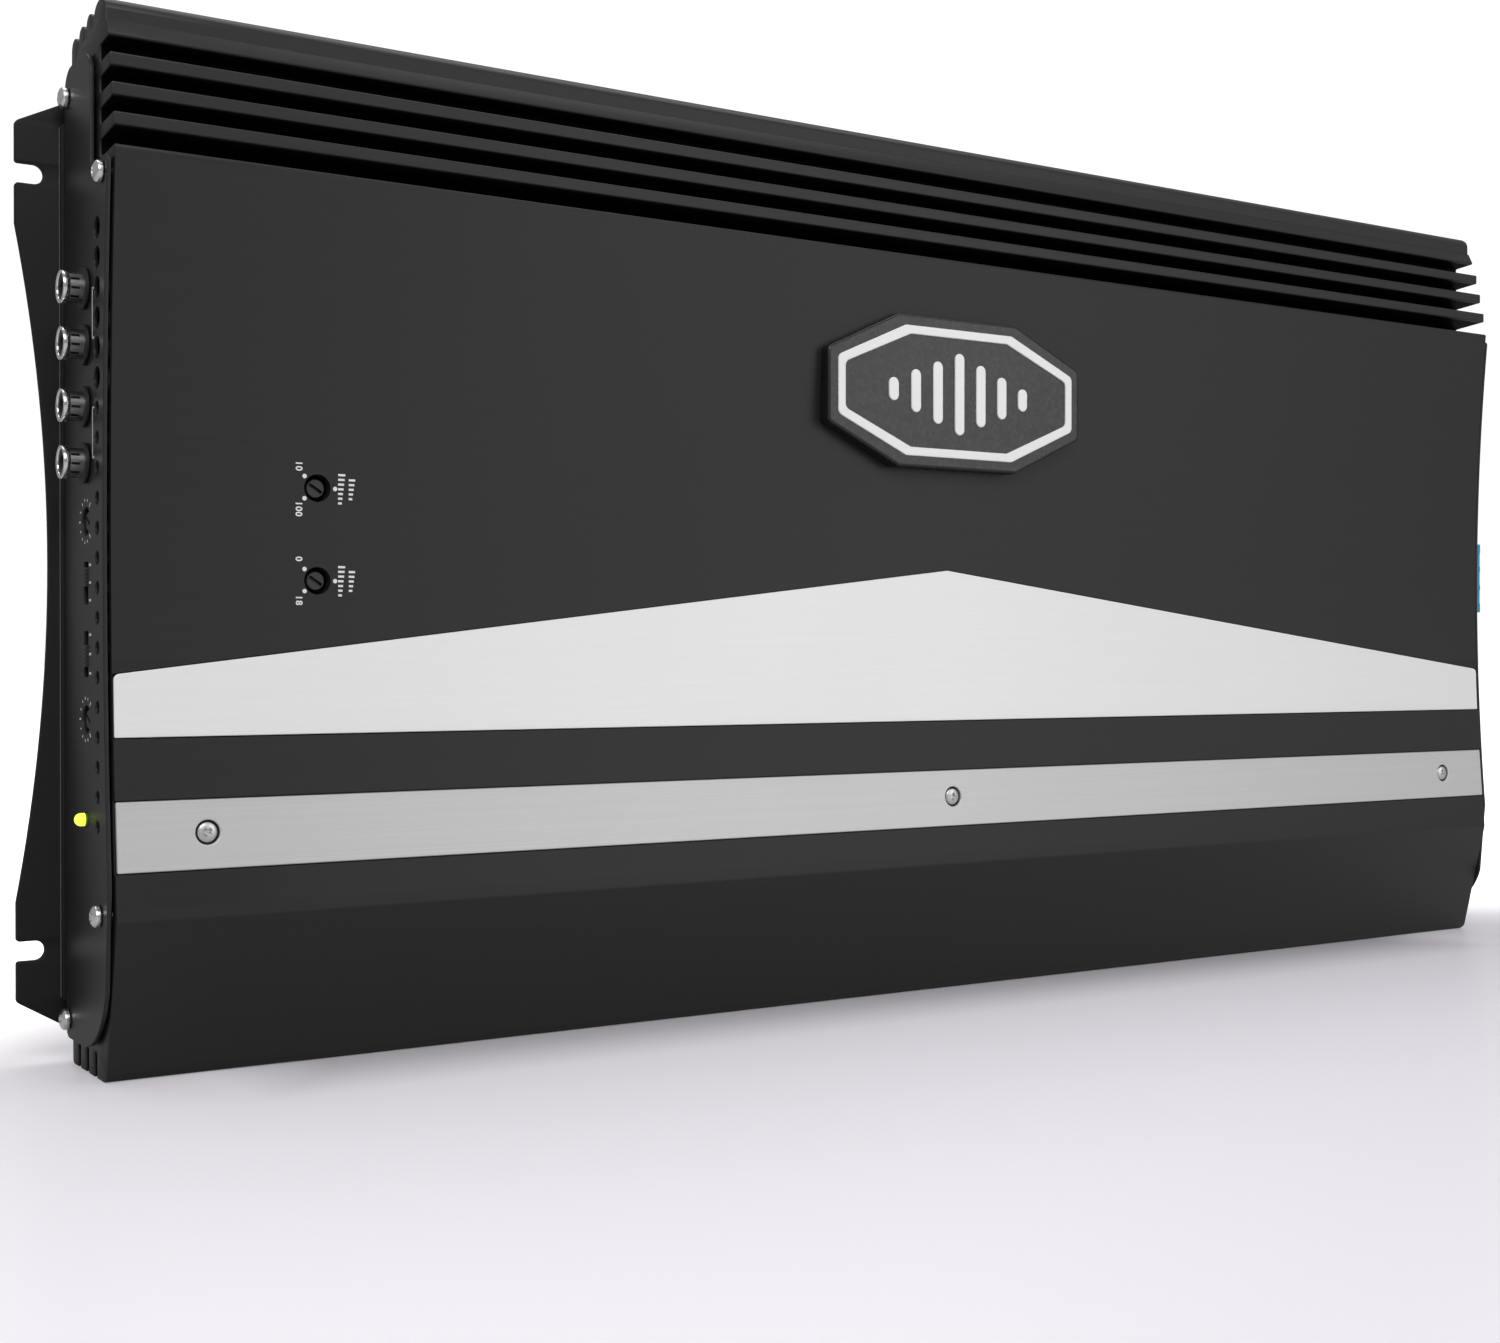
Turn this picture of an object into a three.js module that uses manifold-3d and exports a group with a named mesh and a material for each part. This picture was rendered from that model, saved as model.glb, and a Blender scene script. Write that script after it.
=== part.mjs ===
// Car amplifier standing on its long lower edge. Millimetres, +Z up.
// X runs along the extrusion: the control end is at -X, the terminal end at +X. -Y is the front face,
// +Y the mounting side. The origin is the middle of the bounding box's underside.
// Sections are drawn in (depth, z): depth 0 is the plane through the two long edges of the front face,
// and it grows towards the mounting side. They stand on z = -FOOT_DROP, and the whole group is lifted by it.
import * as THREE from "three";
import { mergeVertices } from "three/addons/utils/BufferGeometryUtils.js";
import Module from "manifold-3d";

const wasm = await Module();
wasm.setup();

// ---- Driving dimensions ----
const GAP = 0.3; // kept between pieces that touch
const LENGTH = 510;
const HEIGHT = 261; // z of the top edge
const FOOT_DROP = 1.5; // the standing surface lies this far below z = 0 of the sections
const CASE_DEPTH = 40;
const TOTAL_DEPTH = 45;
const FRONT_MOST = -1.6; // the badge stands this far in front of depth 0
const MID_DEPTH = (TOTAL_DEPTH + FRONT_MOST) / 2;
const END = LENGTH / 2; // x of the extrusion's cut ends

const FACE_LOW = 38.2; // z of the front face's lower edge, where the chamfer starts
const FACE_HIGH = 223.3; // z of its upper edge
const FACE_SAG = 4.6; // hollow of the front face at its middle
const FACE_MID = (FACE_LOW + FACE_HIGH) / 2;
const FACE_HALF = (FACE_HIGH - FACE_LOW) / 2;
const WALL = 3.4;
const CHAMFER_BACK = 9.2; // depth of the chamfer's lower edge

const FIN_COUNT = 3;
const FIN_PITCH = 7.45;
const FIN_FIRST = 229.6; // z of the lowest fin's nose
const FIN_HALF = 1.6; // half of a nose's thickness
const FIN_SETBACK = 1.1; // depth of the lowest nose
const FIN_STEP = 1.6; // each nose lies this much deeper than the one below
const ROOT_DEPTH = 13.5; // depth of the slots' roots
const FLANK_UP = -0.06; // slope of a fin's upper flank
const FLANK_DOWN = 0.1; // slope of its lower flank

const LOBE_COUNT = 4; // ridges along the top edge
const LOBE_PITCH = 6.9;
const LOBE_DROP = 1.25; // each ridge is lower than the one in front
const CROWN_HIGH = 3.4; // rise of the front ridge's rounded top
const GROOVE = 1.3; // slot between two ridges
const GROOVE_DEEP = 5;
const FOOT_GROOVES = [18.6, 26.1, 33.6]; // depths of the slots along the lower edge
const FOOT_GROOVE = 2.2;
const FOOT_GROOVE_DEEP = 6.5;

const CAVITY_LOW = 14;
const CAVITY_HIGH = 238;
const FIN_WALL_DEPTH = 18.5; // inside of the thick wall that carries the fins
const FIN_WALL_LOW = 219.5;
const BOSS_RADIUS = 4.4;
const END_SCREWS = [
  [36.8, 242],
  [5.2, 217.2],
  [8.2, 39.3],
  [36.9, 10.3],
]; // depth and z of each end panel's screws
const THREAD_HOLE = 1.8;
const THREAD_DEEP = 11;
const PAN_HEAD = { radius: 2.7, high: 2.1, shank: 1.4, long: 9 };
const STRIP_HEAD = { radius: 2.5, high: 1.1, shank: 1.2, long: 4 };

const BAND_LOW = 67.9; // plain raised band between strip and chevron
const BAND_HIGH = 81.8;
const BAND_PROUD = 0.7;
const STRIP_LOW = 49.9;
const STRIP_HIGH = 67;
const STRIP_THICK = 1.2;
const CHEVRON_LOW = 82.2;
const CHEVRON_EDGE = 97.4;
const CHEVRON_PEAK = 128.4;
const CHEVRON_THICK = 0.9;
const STRIP_SCREW_X = [-232.5, 0, 232.5];
const STRIP_SCREW_Z = 58.8;
const STRIP_HOLE = 3.05;
const INLAY_END = END - 0.4; // x of the silver inlays' ends

const PANEL_THICK = 1.1;
const PANEL_IN = END + 0.7; // distance from the middle to a panel's inner face
const PANEL_OUT = PANEL_IN + PANEL_THICK;
const PANEL_INSET = 0.4; // the panel's front edge lies this far behind the face
const PANEL_BACK = 39.5;
const PANEL_STEP_DEPTH = 15.5;
const PANEL_TOP = 249.4;
const PANEL_FOOT = 5.5;
const PANEL_HOLE = 1.9;

const PLATE_LOW = 6.2;
const PLATE_HIGH = 243.4;
const PLATE_THICK = 2;
const LIP_REACH = END + 2.4; // x of the plate's folded rim, just outside the end panels
const LIP_WIDE = 8;
const FLANGE_REACH = 13; // mounting flange beyond each end of the extrusion
const FLANGE_WAIST = 5;
const FLANGE_TIPS = [39.7, 210.8]; // z where the hollow of the flange's edge starts and ends
const FLANGE_ENDS = [14.5, 236.4];
const FLANGE_SLOTS = [27.3, 223.5];
const SLOT_WIDTH = 5;
const SLOT_DEEP = 7;

const VENT_COUNT = 21;
const VENT_LOW = 60.5;
const VENT_PITCH = 7.22;
const VENT_DEPTH = 10;
const VENT_RADIUS = 1.65;
const BIG_VENT_RADIUS = 2.7; // of the highest vents
const BIG_VENT_COUNT = 6;
const LOWER_SLOTS = { count: 6, depth: 14, pitch: 4, z: 34, wide: 2.4, tall: 14 }; // in the terminal panel
const UPPER_SLOTS = { count: 6, depth: 20, pitch: 3.4, z: 230, wide: 2, tall: 12 };
const CONTROL_DEPTH = 20; // depth of the jacks, dials and switches on the end panel
const JACK_Z = [191.6, 177.9, 162.8, 149];
const JACK_BORE = 3.15;
const JACK_FLANGE = 5.1;
const JACK_BARREL = 3.65;
const JACK_RIM = 4.15;
const JACK_LONG = 5.9;
const JACK_HOLE = 3.4; // in the panel
const CORE_RADIUS = 2.8;
const CONTACT_BORE = 1.6;
const GAIN_Z = 134.8;
const CROSSOVER_Z = 86.3;
const DIAL_HOLE = 3.5;
const SHAFT_RADIUS = 2.5;
const FACE_DIAL_X = -203.4;
const SUBSONIC_Z = 144.3;
const BASS_Z = 120.9;
const LED_Z = 61.8;
const LAMP_RADIUS = 1.6;
const LAMP_FLANGE = 1.9;
const LAMP_LONG = 6;
const SWITCH_HALF = 1.9; // half of a switch window's width
const SLIDER_HALF = 1.5;
const SWITCHES = [
  { name: "filter_switch", low: 114.5, high: 124.9, sliderLow: 118.8, sliderHigh: 123.5 },
  { name: "mode_switch", low: 96.7, high: 107.9, sliderLow: 99.1, sliderHigh: 104.5 },
];

const FUSE_Z = 132.2;
const FUSE_WIDE = 28;
const FUSE_THICK = 8.6;
const FUSE_DEPTHS = [16.2, 27.4];
const FUSE_OUT = END + FLANGE_REACH - 0.2;
const FUSE_SEAT = 6; // how far a fuse's body sits in its holder
const FUSE_GRIP = 4; // narrower outer part of a fuse
const BLADE_OFFSET = 9; // from a fuse's middle to a blade's
const BLADE_HALF = 4;
const BLADE_THICK = 0.8;
const BLADE_LONG = 11;
const HOLDER_RIM = 3; // holder wall round the fuses
const HOLDER_HALF = FUSE_WIDE / 2 + HOLDER_RIM;
const HOLDER_FRONT = FUSE_DEPTHS[0] - FUSE_THICK / 2 - 1.7;
const HOLDER_BACK = FUSE_DEPTHS[1] + FUSE_THICK / 2 + 1.7;
const HOLDER_LONG = 20;
const POWER_BLOCK = { name: "power_terminal", count: 3, pitch: 16, z: 73, well: 9, tall: 20, screw: 2.6 };
const SPEAKER_BLOCK = { name: "speaker_terminal", count: 4, pitch: 12, z: 190, well: 7, tall: 17, screw: 2 };
const BLOCK_DEPTH = 23;
const BLOCK_PROUD = 9.5;
const BLOCK_LENGTH = 22;
const WELL_LONG = 14;
const WELL_OFFSET = 1; // wire wells lie this far behind their block's middle

const BOARD_THICK = 1.6;
const BOARD_DEPTH = 33.6; // front face of the main circuit board
const BOARD_HALF = 236;
const BOARD_LOW = 22;
const BOARD_HIGH = 228;
const SHEET_DEPTH = 37;
const SHEET_THICK = 0.6;
const TOROIDS_X = [-70, 20];
const CAPACITORS_Z = [80, FACE_MID, 180];
const CAPACITORS_X = 110;
const TRANSISTOR_COUNT = 12;
const TRANSISTOR_PITCH = 32.7;

// ---- Materials ----
function material(colour, roughness, metalness) {
  return new THREE.MeshStandardMaterial({ color: colour, roughness, metalness });
}
const black = material(0x2c2c2e, 0.45, 0.6);
const panelBlack = material(0x242426, 0.5, 0.3);
const silver = material(0xd0d0d2, 0.35, 0.9);
const chrome = material(0xe6e6e8, 0.12, 1);
const plastic = material(0x18181a, 0.55, 0);
const boardGreen = material(0x1f5a38, 0.6, 0);
const copper = material(0xa8602c, 0.4, 0.8);
const white = material(0xf2f2f2, 0.4, 0);
const fuseBlue = material(0x2aa0c8, 0.2, 0);
const ledGreen = material(0xc8f020, 0.3, 0);
const sleeveBlack = material(0x1c2030, 0.5, 0);
const sheetGrey = material(0x8c8a84, 0.8, 0);

// ---- Geometry helpers ----
const AXES = {
  x: new THREE.Vector3(1, 0, 0),
  y: new THREE.Vector3(0, 1, 0),
  z: new THREE.Vector3(0, 0, 1),
};
const depthToY = (depth) => depth - MID_DEPTH;

function solid(geometry) {
  const bare = geometry.clone();
  bare.deleteAttribute("normal");
  bare.deleteAttribute("uv");
  const merged = mergeVertices(bare, 1e-4);
  return new wasm.Manifold(
    new wasm.Mesh({
      numProp: 3,
      vertProperties: new Float32Array(merged.attributes.position.array),
      triVerts: new Uint32Array(merged.index.array),
    }),
  );
}

function geometryOf(manifold) {
  const mesh = manifold.getMesh();
  const geometry = new THREE.BufferGeometry();
  geometry.setAttribute("position", new THREE.BufferAttribute(mesh.vertProperties, 3));
  geometry.setIndex(new THREE.BufferAttribute(mesh.triVerts, 1));
  const flat = geometry.toNonIndexed();
  flat.computeVertexNormals();
  return flat;
}

const join = (pieces) => pieces.reduce((whole, piece) => whole.add(piece));
const cut = (body, tools) => tools.reduce((rest, tool) => rest.subtract(tool), body);

function asShape(outline) {
  return outline.isShape ? outline : new THREE.Shape(outline.map(([u, v]) => new THREE.Vector2(u, v)));
}

// A section drawn in (depth, z), pulled along X.
function alongX(outline, x0, x1, curveSegments = 12) {
  const geometry = new THREE.ExtrudeGeometry(asShape(outline), {
    depth: x1 - x0,
    bevelEnabled: false,
    curveSegments,
  });
  geometry.applyMatrix4(new THREE.Matrix4().makeBasis(AXES.y, AXES.z, AXES.x));
  geometry.translate(x0, -MID_DEPTH, 0);
  return solid(geometry);
}

// An outline drawn in (x, z), pulled along the depth.
function alongDepth(outline, depth0, depth1, curveSegments = 12) {
  const geometry = new THREE.ExtrudeGeometry(asShape(outline), {
    depth: depth1 - depth0,
    bevelEnabled: false,
    curveSegments,
  });
  geometry.applyMatrix4(new THREE.Matrix4().makeBasis(AXES.x, AXES.z, AXES.y.clone().negate()));
  geometry.translate(0, depthToY(depth1), 0);
  return solid(geometry);
}

function box(x0, x1, depth0, depth1, z0, z1) {
  const geometry = new THREE.BoxGeometry(x1 - x0, depth1 - depth0, z1 - z0);
  geometry.translate((x0 + x1) / 2, depthToY((depth0 + depth1) / 2), (z0 + z1) / 2);
  return solid(geometry);
}

// A turned piece: profile of [radius, distance] from the axis foot outwards, closed on the axis or on
// itself. toward is the unit vector that distance is measured along.
function turned(profile, segments, toward, x, depth, z) {
  const points = profile.map(([r, h]) => new THREE.Vector2(r, h));
  const geometry = new THREE.LatheGeometry(points, segments);
  const turn = new THREE.Quaternion().setFromUnitVectors(AXES.y, toward);
  geometry.applyQuaternion(turn);
  geometry.translate(x, depthToY(depth), z);
  return solid(geometry);
}

function rod(radius, from, to, segments, toward, x, depth, z) {
  return turned([[0, from], [radius, from], [radius, to], [0, to]], segments, toward, x, depth, z);
}

const LEFT = AXES.x.clone().negate();
const RIGHT = AXES.x;
const FRONT = AXES.y.clone().negate();

// Depth of the hollow front face at height z.
const faceDepth = (z) => FACE_SAG * (1 - ((z - FACE_MID) / FACE_HALF) ** 2);

// Points on the front face from z0 to z1, moved back by offset.
function faceLine(z0, z1, steps, offset = 0) {
  const points = [];
  for (let i = 0; i <= steps; i++) {
    const z = z0 + ((z1 - z0) * i) / steps;
    points.push([faceDepth(z) + offset, z]);
  }
  return points;
}

// A thin skin that follows the front face between two heights.
function faceSkin(x0, x1, z0, z1, front, back, steps = 4) {
  const outer = faceLine(z0, z1, steps, front);
  const inner = faceLine(z0, z1, steps, back).reverse();
  return alongX([...outer, ...inner], x0, x1);
}

// Points of an arc, in degrees anticlockwise from the first axis.
function arc(centreU, centreV, radius, from, to, steps) {
  const points = [];
  for (let i = 0; i <= steps; i++) {
    const angle = THREE.MathUtils.degToRad(from + ((to - from) * i) / steps);
    points.push([centreU + radius * Math.cos(angle), centreV + radius * Math.sin(angle)]);
  }
  return points;
}

// ---- Extruded case ----
// One fin: lower flank, rounded nose, upper flank, starting and ending at its slots' roots.
function finLine(index) {
  const nose = FIN_SETBACK + FIN_STEP * index;
  const z = FIN_FIRST + FIN_PITCH * index;
  const low = z - FIN_HALF;
  const high = z + FIN_HALF;
  return [
    [ROOT_DEPTH, low - FLANK_DOWN * (ROOT_DEPTH - nose)],
    [nose + 0.7, low],
    [nose, low + 0.8],
    [nose, high - 0.8],
    [nose + 0.7, high],
    [ROOT_DEPTH, high + FLANK_UP * (ROOT_DEPTH - nose)],
  ];
}

// The ridges along the top edge, front to back; the front one curls over the highest slot.
function topLine() {
  const tip = FIN_SETBACK + FIN_STEP * FIN_COUNT;
  const tipZ = FIN_FIRST + FIN_PITCH * FIN_COUNT - 1.4;
  const half = (LOBE_PITCH - GROOVE) / 2;
  const lastLobe = LOBE_COUNT - 1;
  const grooves = Array.from({ length: lastLobe }, (_, i) => CASE_DEPTH - LOBE_PITCH * (lastLobe - i));
  const wide = (grooves[0] - GROOVE / 2 - tip - 2.5) / 2;
  const crown = arc(0, 0, 1, 180, 0, 10);
  const points = [
    [ROOT_DEPTH, tipZ - FLANK_DOWN * (ROOT_DEPTH - tip)],
    [tip + 0.3, tipZ],
    [tip, tipZ + 0.7],
    [tip + 1.9, tipZ + 3.9],
    [tip + 2.4, tipZ + 4.1],
    ...crown.map(([u, v]) => [tip + 2.5 + wide * (1 + u), HEIGHT + CROWN_HIGH * (v - 1)]),
  ];
  grooves.forEach((at, i) => {
    const floor = HEIGHT - LOBE_DROP * i - GROOVE_DEEP;
    const next = HEIGHT - LOBE_DROP * (i + 1);
    points.push([at - GROOVE / 2, floor], [at + GROOVE / 2, floor]);
    const centre = at + GROOVE / 2 + half;
    points.push(...arc(centre, next - half, half, 180, 0, 6));
  });
  return points;
}

function footLine() {
  const half = FOOT_GROOVE / 2;
  const top = FOOT_GROOVE_DEEP - FOOT_DROP;
  const points = [[CASE_DEPTH, 1.5 - FOOT_DROP], [CASE_DEPTH - 1.2, -FOOT_DROP]];
  for (const at of [...FOOT_GROOVES].reverse()) {
    points.push([at + half, -FOOT_DROP], [at + half, top], [at - half, top], [at - half, -FOOT_DROP]);
  }
  points.push([CHAMFER_BACK + 3, -FOOT_DROP], [CHAMFER_BACK + 0.9, 0.6 - FOOT_DROP]);
  points.push([CHAMFER_BACK - 0.3, 2.4 - FOOT_DROP]);
  return points;
}

function caseOutline() {
  const lowestRoot = [ROOT_DEPTH, FACE_HIGH + FLANK_UP * ROOT_DEPTH];
  const fins = Array.from({ length: FIN_COUNT }, (_, i) => finLine(i)).flat();
  return [
    ...footLine(),
    [0.5, FACE_LOW - 0.8],
    ...faceLine(FACE_LOW, FACE_HIGH - 0.8, 12),
    [0.8, FACE_HIGH],
    lowestRoot,
    ...fins,
    ...topLine(),
  ];
}

function cavityOutline() {
  return [
    [CASE_DEPTH + 1, CAVITY_LOW],
    [CHAMFER_BACK + WALL, CAVITY_LOW],
    ...faceLine(FACE_LOW + 3, FIN_WALL_LOW - 5, 10, WALL),
    [FIN_WALL_DEPTH, FIN_WALL_LOW],
    [FIN_WALL_DEPTH, CAVITY_HIGH],
    [CASE_DEPTH + 1, CAVITY_HIGH],
  ];
}

function makeCase() {
  const shell = cut(alongX(caseOutline(), -END, END), [alongX(cavityOutline(), -END - 1, END + 1)]);
  const frontScrews = END_SCREWS.slice(1, 3);
  const bosses = frontScrews.map(([depth, z]) => rod(BOSS_RADIUS, -END, END, 16, RIGHT, 0, depth, z));
  const band = faceSkin(-END, END, BAND_LOW, BAND_HIGH, -BAND_PROUD, 1, 3);
  const body = join([shell, ...bosses, band]);
  const holes = [];
  for (const [depth, z] of END_SCREWS) {
    for (const toward of [LEFT, RIGHT]) {
      holes.push(rod(THREAD_HOLE, END - THREAD_DEEP, END + 1, 12, toward, 0, depth, z));
    }
  }
  for (const x of STRIP_SCREW_X) {
    holes.push(rod(STRIP_HEAD.shank + GAP, -9, 1, 12, FRONT, x, 0, STRIP_SCREW_Z));
  }
  for (const z of [SUBSONIC_Z, BASS_Z]) holes.push(rod(DIAL_HOLE, -12, 1, 24, FRONT, FACE_DIAL_X, 0, z));
  const stripPocket = faceSkin(-END - 1, END + 1, STRIP_LOW - GAP, STRIP_HIGH + GAP, -3, STRIP_THICK);
  return cut(body, [stripPocket, chevronSolid(GAP, -1, CHEVRON_THICK + GAP), ...holes]);
}

// ---- Silver inlays, their screws and the badge ----
// The chevron-shaped plate, grown by margin; front and back are offsets from the face.
function chevronSolid(margin, front, back) {
  const reach = INLAY_END + margin * 4; // the pocket for it runs out through the case's ends
  const outline = [
    [-reach, CHEVRON_LOW - margin],
    [reach, CHEVRON_LOW - margin],
    [reach, CHEVRON_EDGE + margin],
    [0, CHEVRON_PEAK + margin],
    [-reach, CHEVRON_EDGE + margin],
  ];
  const skin = faceSkin(-reach, reach, CHEVRON_LOW - 1, CHEVRON_PEAK + 1, front, back, 5);
  return skin.intersect(alongDepth(outline, -5, 15));
}

function makeStrip() {
  const strip = faceSkin(-INLAY_END, INLAY_END, STRIP_LOW, STRIP_HIGH, -0.2, STRIP_THICK - GAP);
  const holes = STRIP_SCREW_X.map((x) => rod(STRIP_HOLE, -12, 12, 16, FRONT, x, 0, STRIP_SCREW_Z));
  return cut(strip, holes);
}

// Cross recess in a screw head, cut from its outer face at distance face.
function crossRecess(wide, arm, face, deep) {
  const bar = (a, b) => {
    const geometry = new THREE.BoxGeometry(a, deep * 2, b);
    geometry.translate(0, face, 0);
    return geometry;
  };
  return [bar(wide, arm), bar(arm, wide)];
}

// A pan-head machine screw with its seat at the origin and its head along +Y before it is turned.
function panScrew({ radius, high, shank, long }, toward, x, depth, z) {
  const profile = [
    [0, -long],
    [shank, -long],
    [shank, 0],
    [radius, 0],
    [radius, high * 0.45],
    [radius * 0.72, high * 0.88],
    [0, high],
  ];
  const turn = new THREE.Quaternion().setFromUnitVectors(AXES.y, toward);
  const recess = crossRecess(radius * 1.15, radius * 0.28, high, high * 0.5).map((geometry) => {
    geometry.applyQuaternion(turn);
    geometry.translate(x, depthToY(depth), z);
    return solid(geometry);
  });
  return cut(turned(profile, 12, toward, x, depth, z), recess);
}

const BADGE_Z = 182;
const BADGE_WIDE = 98;
const BADGE_TALL = 46;
const BADGE_THICK = 6.4;
const BADGE_CUT_X = 26; // how much each corner is cut off
const BADGE_CUT_Z = 12;
const BADGE_RIM = 3.2; // plain rim outside the bright frame
const BADGE_FRAME = 2.6; // width of the bright frame

// Lozenge with cut corners, grown outwards by margin.
function badgeOutline(margin) {
  const halfWide = BADGE_WIDE / 2 + margin;
  const halfTall = BADGE_TALL / 2 + margin;
  const tall = halfTall - BADGE_CUT_Z;
  const wide = halfWide - BADGE_CUT_X;
  return [
    [-halfWide, BADGE_Z - tall],
    [-wide, BADGE_Z - halfTall],
    [wide, BADGE_Z - halfTall],
    [halfWide, BADGE_Z - tall],
    [halfWide, BADGE_Z + tall],
    [wide, BADGE_Z + halfTall],
    [-wide, BADGE_Z + halfTall],
    [-halfWide, BADGE_Z + tall],
  ];
}

const BADGE_FRONT = FRONT_MOST + 0.6; // depth of the dark plate's front face
const BADGE_POCKET = BADGE_FRONT + 1.2;

function makeBadgePlate() {
  const block = alongDepth(badgeOutline(0), BADGE_FRONT, BADGE_FRONT + BADGE_THICK);
  const behindFace = faceSkin(-80, 80, BADGE_Z - 40, BADGE_Z + 40, -GAP, 12, 8);
  const pocket = alongDepth(badgeOutline(-BADGE_RIM), BADGE_FRONT - 2, BADGE_POCKET + GAP);
  const inner = BADGE_RIM + BADGE_FRAME + 2 * GAP;
  const island = alongDepth(badgeOutline(-inner), BADGE_FRONT, BADGE_POCKET + 1);
  return cut(block, [behindFace, pocket]).add(island);
}

// A bright frame that fills the groove round the badge's middle.
function makeBadgeInlay() {
  const rim = BADGE_RIM + GAP;
  const outer = alongDepth(badgeOutline(-rim), FRONT_MOST, BADGE_POCKET);
  const inner = alongDepth(badgeOutline(-rim - BADGE_FRAME), FRONT_MOST - 1, BADGE_POCKET + 1);
  return cut(outer, [inner]);
}

// ---- End panels ----
function panelOutline() {
  const faceTop = FACE_HIGH - 2.5;
  return [
    ...faceLine(FACE_LOW + 8, faceTop - 2, 10, PANEL_INSET),
    [PANEL_INSET + 3, faceTop],
    [PANEL_STEP_DEPTH - 1, faceTop + 0.5],
    [PANEL_STEP_DEPTH, faceTop + 1.5],
    ...arc(PANEL_STEP_DEPTH + 6, PANEL_TOP - 6, 6, 180, 90, 5),
    [PANEL_BACK - 2, PANEL_TOP - 0.6],
    [PANEL_BACK, PANEL_TOP - 3],
    [PANEL_BACK, PANEL_FOOT + 3],
    [PANEL_BACK - 3, PANEL_FOOT],
    ...arc(PANEL_INSET + 24, PANEL_FOOT + 22, 22, 270, 196, 8),
    [PANEL_INSET + 1.2, FACE_LOW - 2],
  ];
}

// An upright slot with round ends, as an outline in (depth, z).
function slotOutline(depth, z, wide, tall) {
  const half = wide / 2;
  const reach = tall / 2 - half;
  return [...arc(depth, z + reach, half, 0, 180, 4), ...arc(depth, z - reach, half, 180, 360, 4)];
}

function panelBlank(side) {
  const x0 = side < 0 ? -PANEL_OUT : PANEL_IN;
  const toward = side < 0 ? LEFT : RIGHT;
  const holes = END_SCREWS.map(([depth, z]) => panelHole(PANEL_HOLE, 12, toward, depth, z));
  return cut(alongX(panelOutline(), x0, x0 + PANEL_THICK), holes);
}

function panelHole(radius, segments, toward, depth, z) {
  return rod(radius, PANEL_IN - 1, PANEL_OUT + 1, segments, toward, 0, depth, z);
}

function makeControlPanel() {
  const tools = [];
  for (let i = 0; i < VENT_COUNT; i++) {
    const radius = i < VENT_COUNT - BIG_VENT_COUNT ? VENT_RADIUS : BIG_VENT_RADIUS;
    tools.push(panelHole(radius, 16, LEFT, VENT_DEPTH, VENT_LOW + VENT_PITCH * i));
  }
  for (const z of JACK_Z) tools.push(panelHole(JACK_HOLE, 20, LEFT, CONTROL_DEPTH, z));
  for (const z of [GAIN_Z, CROSSOVER_Z]) tools.push(panelHole(DIAL_HOLE, 24, LEFT, CONTROL_DEPTH, z));
  tools.push(panelHole(LAMP_RADIUS + GAP, 12, LEFT, CONTROL_DEPTH, LED_Z));
  for (const { low, high } of SWITCHES) tools.push(switchWindow(-PANEL_OUT - 1, -PANEL_IN + 1, low, high));
  return cut(panelBlank(-1), tools);
}

function switchWindow(x0, x1, low, high) {
  return box(x0, x1, CONTROL_DEPTH - SWITCH_HALF, CONTROL_DEPTH + SWITCH_HALF, low, high);
}

function blockHalf({ count, pitch }) {
  return (count * pitch) / 2 + 2;
}

function makeTerminalPanel() {
  const tools = [];
  const window = (depth0, depth1, z0, z1) => {
    tools.push(box(PANEL_IN - 1, PANEL_OUT + 1, depth0 - GAP, depth1 + GAP, z0 - GAP, z1 + GAP));
  };
  for (const block of [POWER_BLOCK, SPEAKER_BLOCK]) {
    const half = block.tall / 2;
    window(BLOCK_DEPTH - half, BLOCK_DEPTH + half, block.z - blockHalf(block), block.z + blockHalf(block));
  }
  window(HOLDER_FRONT, HOLDER_BACK, FUSE_Z - HOLDER_HALF, FUSE_Z + HOLDER_HALF);
  for (const { count, depth, pitch, z, wide, tall } of [LOWER_SLOTS, UPPER_SLOTS]) {
    for (let i = 0; i < count; i++) {
      tools.push(alongX(slotOutline(depth + pitch * i, z, wide, tall), PANEL_IN - 1, PANEL_OUT + 1));
    }
  }
  return cut(panelBlank(1), tools);
}

// ---- Base plate with its mounting flanges ----
function plateOutline() {
  const waistSag = FLANGE_REACH - FLANGE_WAIST;
  const [hollowLow, hollowHigh] = FLANGE_TIPS;
  const [endLow, endHigh] = FLANGE_ENDS;
  const half = (hollowHigh - hollowLow) / 2;
  const mid = (hollowHigh + hollowLow) / 2;
  const flangeEdge = [[END - 1, PLATE_LOW], [END + FLANGE_REACH, endLow]];
  const [slotLow, slotHigh] = FLANGE_SLOTS;
  const slot = (z) => [
    [END + FLANGE_REACH, z - SLOT_WIDTH / 2],
    ...arc(END + FLANGE_REACH - SLOT_DEEP + SLOT_WIDTH / 2, z, SLOT_WIDTH / 2, 270, 90, 8),
    [END + FLANGE_REACH, z + SLOT_WIDTH / 2],
  ];
  flangeEdge.push(...slot(slotLow));
  for (let i = 0; i <= 12; i++) {
    const z = hollowLow + ((hollowHigh - hollowLow) * i) / 12;
    flangeEdge.push([END + FLANGE_REACH - waistSag * (1 - ((z - mid) / half) ** 2), z]);
  }
  flangeEdge.push(...slot(slotHigh), [END + FLANGE_REACH, endHigh], [END - 1, PLATE_HIGH]);
  const mirrored = flangeEdge.map(([x, z]) => [-x, z]).reverse();
  return [...flangeEdge, ...mirrored];
}

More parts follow.
